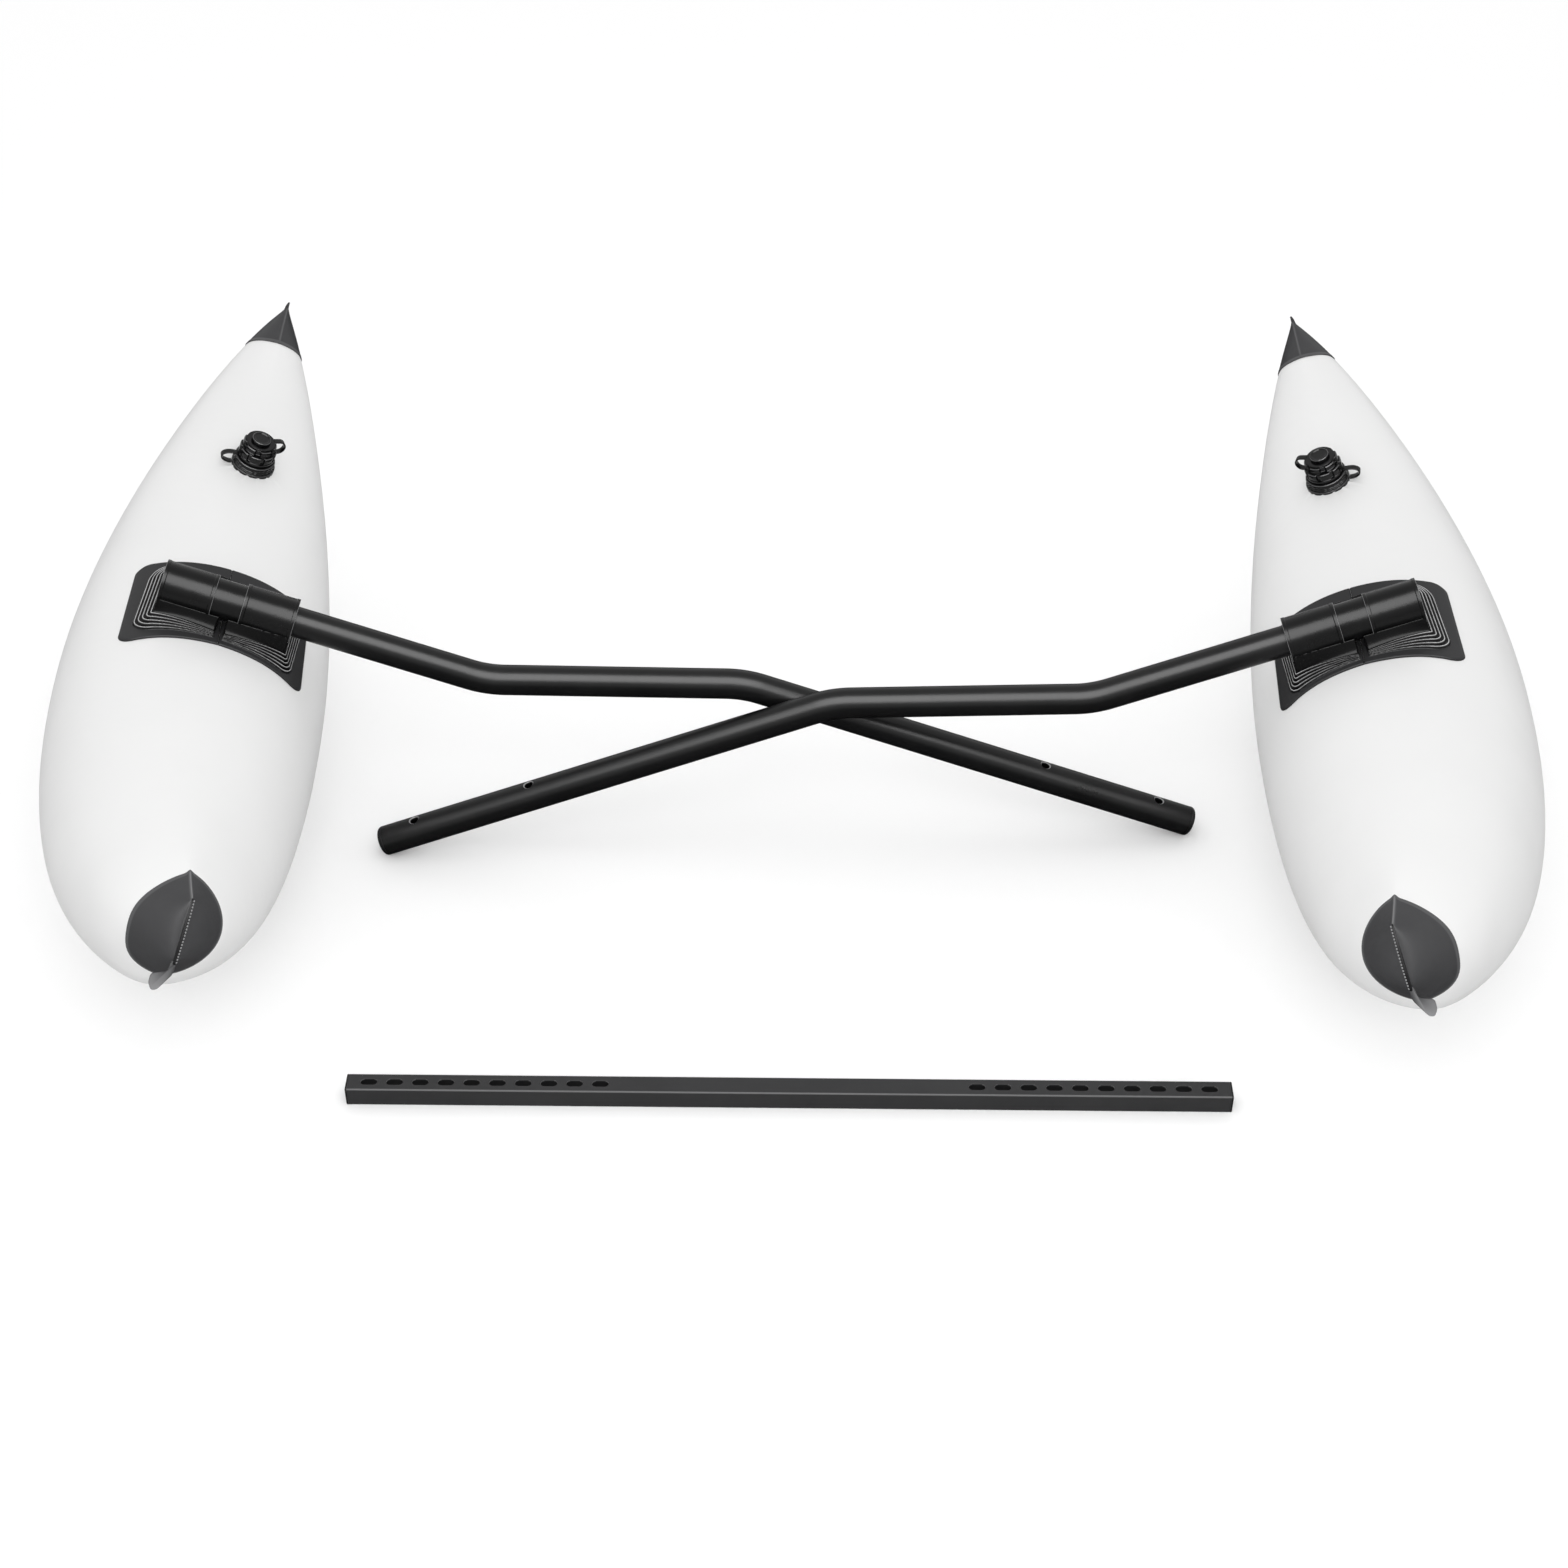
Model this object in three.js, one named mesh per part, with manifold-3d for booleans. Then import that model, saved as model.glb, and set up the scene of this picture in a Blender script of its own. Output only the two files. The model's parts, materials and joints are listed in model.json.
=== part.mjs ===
// Kayak outrigger kit laid out on the ground: two inflatable floats, each on the outer end of a bent arm tube,
// and the slotted crossbar that joins the arms across the boat.
// Millimetres, +Z up, +X to the right, +Y away from the front.
// The left half is described, and the right half is its mirror image, a little nearer the front.
import * as THREE from 'three';
import { mergeVertices } from 'three/addons/utils/BufferGeometryUtils.js';
import Module from 'manifold-3d';

const wasm = await Module();
wasm.setup();

const degrees = THREE.MathUtils.degToRad;
const { lerp, clamp, smoothstep } = THREE.MathUtils;

// Clearances
const seatGap = 0.3;
const cutOverrun = 6;

// Facets round the turned pieces
const smallSides = 20;
const largeSides = 32;

// Arm tube: three straight runs in one plane, measured between the corners of the centreline
const armDiameter = 30;
const armWall = 1.8;
const armBend = degrees(20.3);
const armBendRadius = 100;
const armOuterRun = 193.5;
const armMiddleRun = 253;
const armInnerRun = 478;
const armSides = 20;
const armBendSteps = 3;
const boltHoleDiameter = 9;
const boltHoleFromEnd = 37;
const boltHoleSpacing = 125;

// Round plugs in the arm's ends
const plugHeadLength = 4.5;
const plugHeadRounding = 4;
const plugStemLength = 22;
const plugStemWall = 2;

// Sleeves and the liner tube that runs through both
const sleeveLength = 51;
const sleeveSpacing = 28;
const sleeveWall = 1.8;
const linerDiameter = 39;
const linerRunningGap = 0.3;
const linerInset = 1;

// Skirt that spreads from each sleeve down to the saddle
const skirtTopDrop = 16;
const skirtTopHalfWidth = 15;
const skirtNearFoot = 32;
const skirtFarFoot = 44;
const skirtFootReach = 15;
const skirtMiddleGap = 8;
const skirtFootDrop = 52;

// Saddle pads, one under each sleeve, wrapped round the hull
const padThickness = 2;
const padHalfLength = 58;
const padReach = 87;
const padSetback = 4;
const padCorner = 13;
const padNearFlare = 3;
const padNearDrop = 4;
const padMiddleGap = 1;
const padSeat = 1.2;

// Float
const farHalfLength = 484;
const nearHalfLength = 493;
const floatRadius = 132.4;
const farGirthPower = 0.8;
const nearGirthPower = 0.6;
const hullWall = 2;
const farRise = 167;
const nearRise = 185;
const rockerPower = 2.13;
const farSeamHeight = 31;
const nearSeamHeight = 26;
const seamHalfThickness = 2;
const seamStartShare = 0.35;
const seamPower = 1.5;
const ridgeStartShare = 0.5;
const ridgePower = 1.5;
const farCapStartShare = 0.914;
const nearCapStartShare = 0.944;
const capHollowShare = 0.97;
const hullSides = 28;
const endRings = 8;
const saddleRings = 7;
const saddleRingReach = 85;
const finThickness = 3;
const finReach = 8;
const farFinTopTab = 8;
const nearFinTopTab = 2;
const finBottomTab = 4;
const tailWidth = 18;
const tailLength = 27;
const tailOverlap = 5;

// How the float hangs on its sleeves
const sleeveSetback = -12;
const saddleDent = 7.5;
const dentSpread = degrees(26);
const dentLength = 80;
const floatLean = degrees(2.8);
const floatToe = degrees(4.55);

// Inflation valve
const valveShare = 0.557;
const valveBore = 13.6;
const threadGap = 0.3;
const socketWall = 2.4;
const socketDepth = 14;
const flangeRadius = 22.5;
const flangeTop = 2.5;
const flangeSink = 5;
const baseRadius = 21;
const baseTop = 11;
const baseChamfer = 1;
const tetherThickness = 1.4;
const tetherWidth = 6;
const bodyRadius = 19;
const bodySkirt = 10.5;
const bodyAirway = 8;
const bodyNotchCount = 8;
const bodyNotchWidth = 4;
const bodyNotchDepth = 1.6;
const flapThickness = 1.2;
const capRadius = 17;
const capSkirt = 7.2;
const capStem = 9.5;
const capLobeCount = 6;
const capLobeNotchWidth = 5;
const capLobeNotchDepth = 1.4;
const capButtonRadius = 11.5;
const capButtonHeight = 3.5;
const capNeckRadius = 10.5;
const bodyLoopReach = 10.5;
const bodyLoopDrop = 7;
const capLoopReach = 7.5;
const capLoopDrop = 8;
const loopEnd = degrees(100);
const bodyLoopSwing = degrees(12);
const capLoopSwing = degrees(25);

// Crossbar
const barLength = 800;
const barSize = 20;
const barWall = 1.5;
const barCorner = 1.2;
const slotCount = 10;
const slotPitch = 23.35;
const slotLength = 15.2;
const slotWidth = 7.4;
const slotFromEnd = 19.2;
const barPlugFlange = 1.5;
const barPlugStem = 9;
const barPlugWall = 1.6;

// Layout on the ground
const sleeveCentreX = 538.5;
const layoutDepth = -65;
const armCrossingGap = 0.5;
const armYaw = degrees(-1.54);
const barDepth = -450;
const barYaw = degrees(-0.7);

// Sizes that follow from the ones above
const armRadius = armDiameter / 2;
const armBore = armRadius - armWall;
const linerRadius = linerDiameter / 2;
const sleeveBore = linerRadius + seatGap;
const sleeveRadius = sleeveBore + sleeveWall;
const sleeveEnd = sleeveSpacing / 2 + sleeveLength;
const padTop = seatGap + padThickness;
const sleeveHeight = floatRadius - saddleDent + padTop + seatGap + padSeat + sleeveRadius;
const socketRadius = valveBore + socketWall;
const bodyStemRadius = valveBore - threadGap;
const bodyBase = baseTop + seatGap + tetherThickness + seatGap;
const bodyTop = bodyBase + bodySkirt;
const capBase = bodyTop + seatGap;
const capTop = capBase + capSkirt;
const buttonBase = capTop + seatGap + tetherThickness + seatGap;

// Finishes
const finishes = {
  hull: { color: 0xf1f1f0, roughness: 0.42, metalness: 0 },
  greyFabric: { color: 0x46474a, roughness: 0.62, metalness: 0 },
  blackFabric: { color: 0x161617, roughness: 0.5, metalness: 0 },
  blackPlastic: { color: 0x0d0d0e, roughness: 0.3, metalness: 0 },
  tube: { color: 0x1a1a1b, roughness: 0.38, metalness: 0.4 },
  bar: { color: 0x2d2d2e, roughness: 0.5, metalness: 0.4 },
};

// Merges shared vertices, drops empty triangles and turns the faces outwards
function tidy(source) {
  const bare = source.clone();
  bare.deleteAttribute('normal');
  bare.deleteAttribute('uv');
  const merged = mergeVertices(bare);
  const index = merged.index.array;
  const place = merged.attributes.position;
  const kept = [];
  const corners = [new THREE.Vector3(), new THREE.Vector3(), new THREE.Vector3()];
  let volume = 0;
  for (let i = 0; i < index.length; i += 3) {
    const [a, b, c] = index.slice(i, i + 3);
    if (a === b || b === c || c === a) continue;
    kept.push(a, b, c);
    corners.forEach((corner, k) => corner.fromBufferAttribute(place, index[i + k]));
    volume += corners[0].dot(corners[1].cross(corners[2]));
  }
  if (volume < 0) kept.reverse();
  merged.setIndex(kept);
  return merged;
}

function toSolid(geometry) {
  const clean = tidy(geometry);
  return new wasm.Manifold(new wasm.Mesh({
    numProp: 3,
    vertProperties: new Float32Array(clean.attributes.position.array),
    triVerts: new Uint32Array(clean.index.array),
  }));
}

function fromSolid(solid) {
  const mesh = solid.getMesh();
  const geometry = new THREE.BufferGeometry();
  geometry.setAttribute('position', new THREE.BufferAttribute(new Float32Array(mesh.vertProperties), 3));
  geometry.setIndex(Array.from(mesh.triVerts));
  return geometry;
}

function cut(geometry, ...tools) {
  return fromSolid(tools.reduce((solid, tool) => solid.subtract(toSolid(tool)), toSolid(geometry)));
}

function join(...geometries) {
  return fromSolid(geometries.map(toSolid).reduce((whole, solid) => whole.add(solid)));
}

// The mirror image across the plane x = 0
function mirrored(geometry) {
  const copy = tidy(geometry);
  copy.scale(-1, 1, 1);
  copy.setIndex(Array.from(copy.index.array).reverse());
  return copy;
}

// A skin through rings of equal counts: closed on itself like a pipe wall, or with both ends filled in
function loft(rings, closed) {
  const count = rings[0].length;
  const points = rings.flat();
  const index = [];
  const joints = closed ? rings.length : rings.length - 1;
  for (let i = 0; i < joints; i++) {
    const near = i * count;
    const far = ((i + 1) % rings.length) * count;
    for (let j = 0; j < count; j++) {
      const k = (j + 1) % count;
      index.push(near + j, near + k, far + k, near + j, far + k, far + j);
    }
  }
  if (!closed) {
    const last = (rings.length - 1) * count;
    const ends = [rings[0], rings[rings.length - 1]].map((ring) => middleOf(ring));
    points.push(...ends);
    const first = rings.length * count;
    for (let j = 0; j < count; j++) {
      const k = (j + 1) % count;
      index.push(first, k, j, first + 1, last + j, last + k);
    }
  }
  const geometry = new THREE.BufferGeometry().setFromPoints(points);
  geometry.setIndex(index);
  return geometry;
}

function middleOf(ring) {
  return ring.reduce((sum, point) => sum.add(point), new THREE.Vector3()).divideScalar(ring.length);
}

// A turned solid about Z from [radius, height] points round its section
function turned(section, sides = smallSides) {
  const points = [...section, section[0]].map(([radius, height]) => new THREE.Vector2(radius, height));
  return new THREE.LatheGeometry(points, sides).rotateX(Math.PI / 2);
}

// A cylinder about Z between two heights
function post(radius, low, high, sides = smallSides) {
  return turned([[0, low], [radius, low], [radius, high], [0, high]], sides);
}

// A flat outline in the XY plane raised along Z and centred on z = 0
function plate(shape, thickness, curveSegments = 8) {
  const geometry = new THREE.ExtrudeGeometry(shape, { depth: thickness, bevelEnabled: false, curveSegments });
  return geometry.translate(0, 0, -thickness / 2);
}

// Hull of the float. share runs from -1 at the near tip to 1 at the far tip, angle from 0 on top round to +X,
// and offset moves the point out from the skin.
function hullPoint(share, angle, offset) {
  const along = Math.abs(share);
  const power = share > 0 ? farGirthPower : nearGirthPower;
  const half = seamHalfThickness + (floatRadius - seamHalfThickness) * (1 - along ** 2) ** power;
  const seam = seamHeight(share) * clamp((along - seamStartShare) / (1 - seamStartShare), 0, 1) ** seamPower;
  const sharpness = lerp(1, ridgePower, smoothstep(along, ridgeStartShare, 1));
  const sine = Math.sin(angle);
  const across = (half + offset) * Math.sign(sine) * Math.abs(sine) ** sharpness;
  const slope = rockerSlope(share);
  const fromTop = Math.abs(Math.atan2(sine, Math.cos(angle))) / dentSpread;
  const fromSleeve = (share * halfLength(share) - sleeveSetback) / dentLength;
  const dent = saddleDent * Math.exp(-(fromTop ** 2) - fromSleeve ** 2);
  const up = (Math.hypot(half, seam) + offset - dent) * Math.cos(angle);
  return new THREE.Vector3(
    across,
    share * halfLength(share) - Math.sin(slope) * up,
    tipRise(share) * along ** rockerPower + Math.cos(slope) * up,
  );
}

function seamHeight(share) {
  return share > 0 ? farSeamHeight : nearSeamHeight;
}

function halfLength(share) {
  return share > 0 ? farHalfLength : nearHalfLength;
}

function tipRise(share) {
  return share > 0 ? farRise : nearRise;
}

function rockerSlope(share) {
  const steepness = tipRise(share) * rockerPower * Math.abs(share) ** (rockerPower - 1) / halfLength(share);
  return Math.atan(Math.sign(share) * steepness);
}

function hullRing(share, offset) {
  const ring = [];
  for (let i = 0; i < hullSides; i++) ring.push(hullPoint(share, i / hullSides * 2 * Math.PI, offset));
  return ring;
}

// Where the rings of the hull stand along it: closer together under the saddle
function ringShares() {
  const middle = sleeveSetback / nearHalfLength;
  const reach = saddleRingReach / nearHalfLength;
  const shares = [];
  for (let i = 0; i <= saddleRings; i++) shares.push(middle + reach * lerp(-1, 1, i / saddleRings));
  for (let i = 1; i <= endRings; i++) {
    const step = (i / endRings) ** 0.75;
    shares.push(lerp(middle + reach, farCapStartShare, step));
    shares.unshift(lerp(middle - reach, -nearCapStartShare, step));
  }
  return shares;
}

// Everything inside the hull's skin moved out by offset
function hullSolid(offset) {
  return loft(ringShares().map((share) => hullRing(share, offset)), false);
}

// How far from the middle the skin is still shaped by the dent
function shareOfDent() {
  return (Math.abs(sleeveSetback) + saddleRingReach) / nearHalfLength;
}

// Fabric shell, open at both ends under the end caps, with a hole for the valve socket
function hullGeometry() {
  const outside = ringShares().map((share) => hullRing(share, 0));
  const inside = ringShares()
    .filter((share, i) => i % 2 === 0 || Math.abs(share) < shareOfDent())
    .map((share) => hullRing(share, -hullWall))
    .reverse();
  const hole = post(socketRadius + seatGap, -floatRadius / 2, cutOverrun).applyMatrix4(valveMatrix());
  return cut(loft([...outside, ...inside], true), hole);
}

// Cone of grey fabric that closes one end of the hull; far is 1 for the far end and -1 for the near end
function endCapGeometry(far) {
  const start = far > 0 ? farCapStartShare : nearCapStartShare;
  const base = start + seatGap / halfLength(far);
  const outerShares = [0, 0.35, 0.7, 1].map((share) => lerp(base, 1, share));
  const innerShares = [1, 0].map((share) => lerp(base, capHollowShare, share));
  const inside = innerShares.map((share) => hullRing(far * share, -hullWall));
  const outside = outerShares.map((share) => hullRing(far * share, 0));
  return loft([...inside, ...outside], false);
}

// Flat welded flange on the seam at one tip
function finGeometry(far) {
  const seam = seamHeight(far);
  const topTab = far > 0 ? farFinTopTab : nearFinTopTab;
  const outline = new THREE.Shape();
  outline.moveTo(seatGap, seam);
  outline.lineTo(seatGap, seam + topTab);
  outline.lineTo(finReach / 2, seam + topTab / 2);
  outline.quadraticCurveTo(finReach, seam / 2, finReach, 0);
  outline.quadraticCurveTo(finReach, -seam / 2, finReach / 2, -seam - finBottomTab / 2);
  outline.lineTo(seatGap, -seam - finBottomTab);
  outline.lineTo(seatGap, -seam);
  let geometry = plate(outline, finThickness, 4);
  if (far < 0) geometry = join(geometry, tailGeometry(seam));
  const slope = Math.abs(rockerSlope(far));
  const frame = new THREE.Matrix4().makeBasis(
    new THREE.Vector3(0, far * Math.cos(slope), Math.sin(slope)),
    new THREE.Vector3(0, -far * Math.sin(slope), Math.cos(slope)),
    new THREE.Vector3(far, 0, 0),
  );
  frame.setPosition(0, far * halfLength(far), tipRise(far));
  return geometry.applyMatrix4(frame);
}

// Draws to a corner and round it by padCorner, on the way from one point to another
function roundCorner(outline, from, corner, to) {
  const [before, after] = [from, to].map(([x, y]) => {
    const length = Math.hypot(x - corner[0], y - corner[1]);
    return [0, 1].map((i) => corner[i] + ([x, y][i] - corner[i]) / length * padCorner);
  });
  outline.lineTo(...before);
  outline.quadraticCurveTo(...corner, ...after);
}

// Rounded tail across the foot of the near flange, in the flange's own frame
function tailGeometry(seam) {
  const half = tailWidth / 2;
  const outline = new THREE.Shape();
  outline.moveTo(-half, tailOverlap);
  outline.lineTo(-half, -tailLength / 2);
  outline.quadraticCurveTo(-half / 2, -tailLength, 0, -tailLength);
  outline.quadraticCurveTo(half / 2, -tailLength, half, tailOverlap);
  return plate(outline, finThickness, 4)
    .rotateY(Math.PI / 2)
    .translate(seatGap + finThickness / 2, -seam, 0);
}

// Saddle pad on one side of the middle: side is -1 outboard and 1 inboard
function padGeometry(side) {
  const near = [side * (padReach + padNearFlare), -padHalfLength - padNearDrop];
  const far = [side * padReach, padHalfLength];
  const middle = side * padMiddleGap / 2;
  const outline = new THREE.Shape();
  outline.moveTo(middle, -padHalfLength);
  roundCorner(outline, [middle, -padHalfLength], near, far);
  roundCorner(outline, near, far, [middle, padHalfLength]);
  outline.lineTo(middle, padHalfLength);
  const block = plate(outline, floatRadius, 5).translate(0, padSetback, floatRadius);
  const skin = toSolid(hullSolid(padTop)).subtract(toSolid(hullSolid(seatGap)));
  return fromSolid(toSolid(block).intersect(skin));
}

// One sleeve with its skirt, in the sleeve's own frame: X along the arm
function sleeveGeometry(side) {
  const near = side * sleeveSpacing / 2;
  const middle = side * skirtMiddleGap / 2;
  const end = side * sleeveEnd;
  const ring = post(sleeveRadius, 0, sleeveLength, largeSides)
    .rotateY(Math.PI / 2)
    .translate(Math.min(near, end), 0, 0);
  const foot = side * (sleeveEnd + skirtFootReach);
  const edges = [[-skirtTopHalfWidth, -skirtNearFoot], [skirtTopHalfWidth, skirtFarFoot]];
  const skirt = loft(edges.map(([top, base]) => [
    new THREE.Vector3(near, top, -skirtTopDrop),
    new THREE.Vector3(middle, base, -skirtFootDrop),
    new THREE.Vector3(foot, base, -skirtFootDrop),
    new THREE.Vector3(end, top, -skirtTopDrop),
  ]), false);
  const bore = post(sleeveBore, -foot, foot, largeSides).rotateY(Math.PI / 2);
  return cut(join(ring, skirt), bore, hullSolid(padTop + seatGap).applyMatrix4(hullMatrix()));
}

function linerGeometry() {
  const half = sleeveEnd - linerInset;
  const bore = armRadius + linerRunningGap;
  return turned([[bore, -half], [linerRadius, -half], [linerRadius, half], [bore, half]], largeSides)
    .rotateY(Math.PI / 2);
}

// Corners of the arm's centreline in the sleeve frame, as [x, z]
function armCorners() {
  const outerBend = sleeveEnd + armOuterRun;
  const innerBend = outerBend + armMiddleRun * Math.cos(armBend);
  const rise = armMiddleRun * Math.sin(armBend);
  const outerEnd = -sleeveEnd + plugHeadLength + linerInset;
  return [[outerEnd, 0], [outerBend, 0], [innerBend, rise], [innerBend + armInnerRun, rise]];
}

// Stations along the centreline: a place and the direction of the tube there
function armStations() {
  const [start, outerBend, innerBend, end] = armCorners();
  const stations = [{ x: start[0], z: start[1], heading: 0 }];
  const tangent = armBendRadius * Math.tan(armBend / 2);
  const bends = [
    { corner: outerBend, from: 0, to: armBend },
    { corner: innerBend, from: armBend, to: 0 },
  ];
  for (const { corner, from, to } of bends) {
    const turn = Math.sign(to - from);
    const x0 = corner[0] - tangent * Math.cos(from);
    const z0 = corner[1] - tangent * Math.sin(from);
    const centreX = x0 - turn * armBendRadius * Math.sin(from);
    const centreZ = z0 + turn * armBendRadius * Math.cos(from);
    for (let i = 0; i <= armBendSteps; i++) {
      const heading = lerp(from, to, i / armBendSteps);
      stations.push({
        x: centreX + turn * armBendRadius * Math.sin(heading),
        z: centreZ - turn * armBendRadius * Math.cos(heading),
        heading,
      });
    }
  }
  stations.push({ x: end[0], z: end[1], heading: 0 });
  return stations;
}

function armGeometry() {
  const ringAt = (station, radius) => {
    const ring = [];
    for (let i = 0; i < armSides; i++) {
      const angle = i / armSides * 2 * Math.PI;
      const up = radius * Math.cos(angle);
      ring.push(new THREE.Vector3(
        station.x - up * Math.sin(station.heading),
        -radius * Math.sin(angle),
        station.z + up * Math.cos(station.heading),
      ));
    }
    return ring;
  };
  const stations = armStations();
  const outside = stations.map((station) => ringAt(station, armRadius));
  const inside = stations.map((station) => ringAt(station, armBore)).reverse();
  const tip = stations[stations.length - 1];
  const holes = [0, boltHoleSpacing].map((step) => post(boltHoleDiameter / 2, -armDiameter, armDiameter, 16)
    .translate(tip.x - boltHoleFromEnd - step, 0, tip.z));
  return cut(loft([...outside, ...inside], true), ...holes);
}

// Domed plug for an end of the arm, about Z with its head up
function armPlugGeometry() {
  const stemRadius = armBore - seatGap;
  const flat = armRadius - plugHeadRounding;
  const low = plugHeadLength - plugHeadRounding + seatGap;
  const section = [[0, seatGap], [0, seatGap + plugHeadLength], [flat, seatGap + plugHeadLength]];
  for (const turn of [45, 90].map(degrees)) {
    section.push([flat + plugHeadRounding * Math.sin(turn), low + plugHeadRounding * Math.cos(turn)]);
  }
  section.push([armRadius, seatGap], [stemRadius, seatGap], [stemRadius, -plugStemLength]);
  section.push([stemRadius - plugStemWall, -plugStemLength], [stemRadius - plugStemWall, seatGap]);
  return turned(section, armSides);
}

// Place and tilt of the valve on top of the hull, in the hull frame
function valveMatrix() {
  const ahead = hullPoint(valveShare * 1.001, 0, 0);
  const behind = hullPoint(valveShare * 0.999, 0, 0);
  const tilt = Math.atan2(ahead.z - behind.z, ahead.y - behind.y);
  const seat = hullPoint(valveShare, 0, 0);
  return new THREE.Matrix4().makeRotationX(tilt).setPosition(seat);
}

// Welded base ring whose flange follows the hull, with the threaded socket that goes through the skin
function valveBaseGeometry() {
  const shoulder = baseRadius - 2 * baseChamfer;
  const ring = turned([
    [valveBore + socketWall / 2, -flangeSink],
    [flangeRadius, -flangeSink],
    [flangeRadius, flangeTop],
    [baseRadius, flangeTop + baseChamfer],
    [baseRadius, baseTop - baseChamfer],
    [shoulder, baseTop],
    [valveBore + socketWall / 2, baseTop],
  ]);
  const underHull = hullSolid(seatGap).applyMatrix4(valveMatrix().invert());
  const socket = turned([
    [valveBore, -socketDepth],
    [socketRadius, -socketDepth],
    [socketRadius, baseTop - baseChamfer],
    [valveBore, baseTop],
  ]);
  return join(cut(ring, underHull), socket);
}

// Ring round a neck with a strap that loops out and down to the piece below
function tetherGeometry(neckRadius, ringRadius, low, anchorRadius, reach, drop) {
  const high = low + tetherThickness;
  const ring = turned([
    [neckRadius + seatGap, low],
    [ringRadius, low],
    [ringRadius, high],
    [neckRadius + seatGap, high],
  ]);
  const centreX = anchorRadius + seatGap - reach * Math.cos(loopEnd);
  const centreY = high - drop;
  const startX = ringRadius - tetherThickness;
  const loop = new THREE.Shape();
  loop.moveTo(startX, high);
  loop.lineTo(centreX, high);
  loop.absellipse(centreX, centreY, reach, drop, Math.PI / 2, -loopEnd, true);
  const inner = drop - tetherThickness;
  loop.absellipse(centreX, centreY, reach - tetherThickness, inner, -loopEnd, Math.PI / 2, false);
  loop.lineTo(startX, low);
  const strap = plate(loop, tetherWidth, 8).rotateX(Math.PI / 2);
  return join(ring, strap);
}

function valveBodyGeometry() {
  const neck = bodyStemRadius - threadGap * 2;
  const blank = turned([
    [bodyAirway, -socketDepth + 2 * flapThickness],
    [bodyStemRadius, -socketDepth + 2 * flapThickness],
    [bodyStemRadius, baseTop],
    [neck, baseTop],
    [neck, bodyBase],
    [bodyRadius, bodyBase],
    [bodyRadius, bodyTop - baseChamfer],
    [bodyRadius - baseChamfer, bodyTop],
    [bodyAirway, bodyTop],
  ]);
  const notches = [];
  for (let i = 0; i < bodyNotchCount; i++) {
    const notch = new THREE.BoxGeometry(2 * bodyNotchDepth, bodyNotchWidth, bodySkirt);
    notch.translate(bodyRadius, 0, bodyBase + bodySkirt * 0.7);
    notches.push(notch.rotateZ((i + 0.5) / bodyNotchCount * 2 * Math.PI));
  }
  return cut(blank, ...notches);
}

function flapGeometry() {
  const radius = bodyStemRadius - 2 * threadGap;
  const high = -socketDepth + 2 * flapThickness - seatGap;
  return post(radius, high - flapThickness, high);
}

function valveCapGeometry() {
  const stem = bodyAirway - threadGap;
  const blank = turned([
    [0, capBase - capStem],
    [stem, capBase - capStem],
    [stem, capBase],
    [capRadius, capBase],
    [capRadius, capTop - baseChamfer],
    [capRadius - baseChamfer, capTop],
    [capNeckRadius, capTop],
    [capNeckRadius, buttonBase],
    [capButtonRadius, buttonBase],
    [capButtonRadius, buttonBase + capButtonHeight - baseChamfer],
    [capButtonRadius - baseChamfer, buttonBase + capButtonHeight],
    [0, buttonBase + capButtonHeight],
  ]);
  const notches = [];
  for (let i = 0; i < capLobeCount; i++) {
    const notch = new THREE.BoxGeometry(2 * capLobeNotchDepth, capLobeNotchWidth, 2 * capSkirt);
    notch.translate(capRadius, 0, capBase + capSkirt / 2);
    notches.push(notch.rotateZ((i + 0.5) / capLobeCount * 2 * Math.PI));
  }
  return cut(blank, ...notches);
}

// The hull in the sleeve frame: its top middle lies under the sleeves, leaning and toed out a little
function hullMatrix() {
  const turn = new THREE.Matrix4().makeRotationFromEuler(new THREE.Euler(0, floatLean, floatToe, 'ZYX'));
  const down = new THREE.Vector3(0, -sleeveSetback, -sleeveHeight).applyMatrix4(turn);
  return turn.setPosition(down);
}

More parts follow.
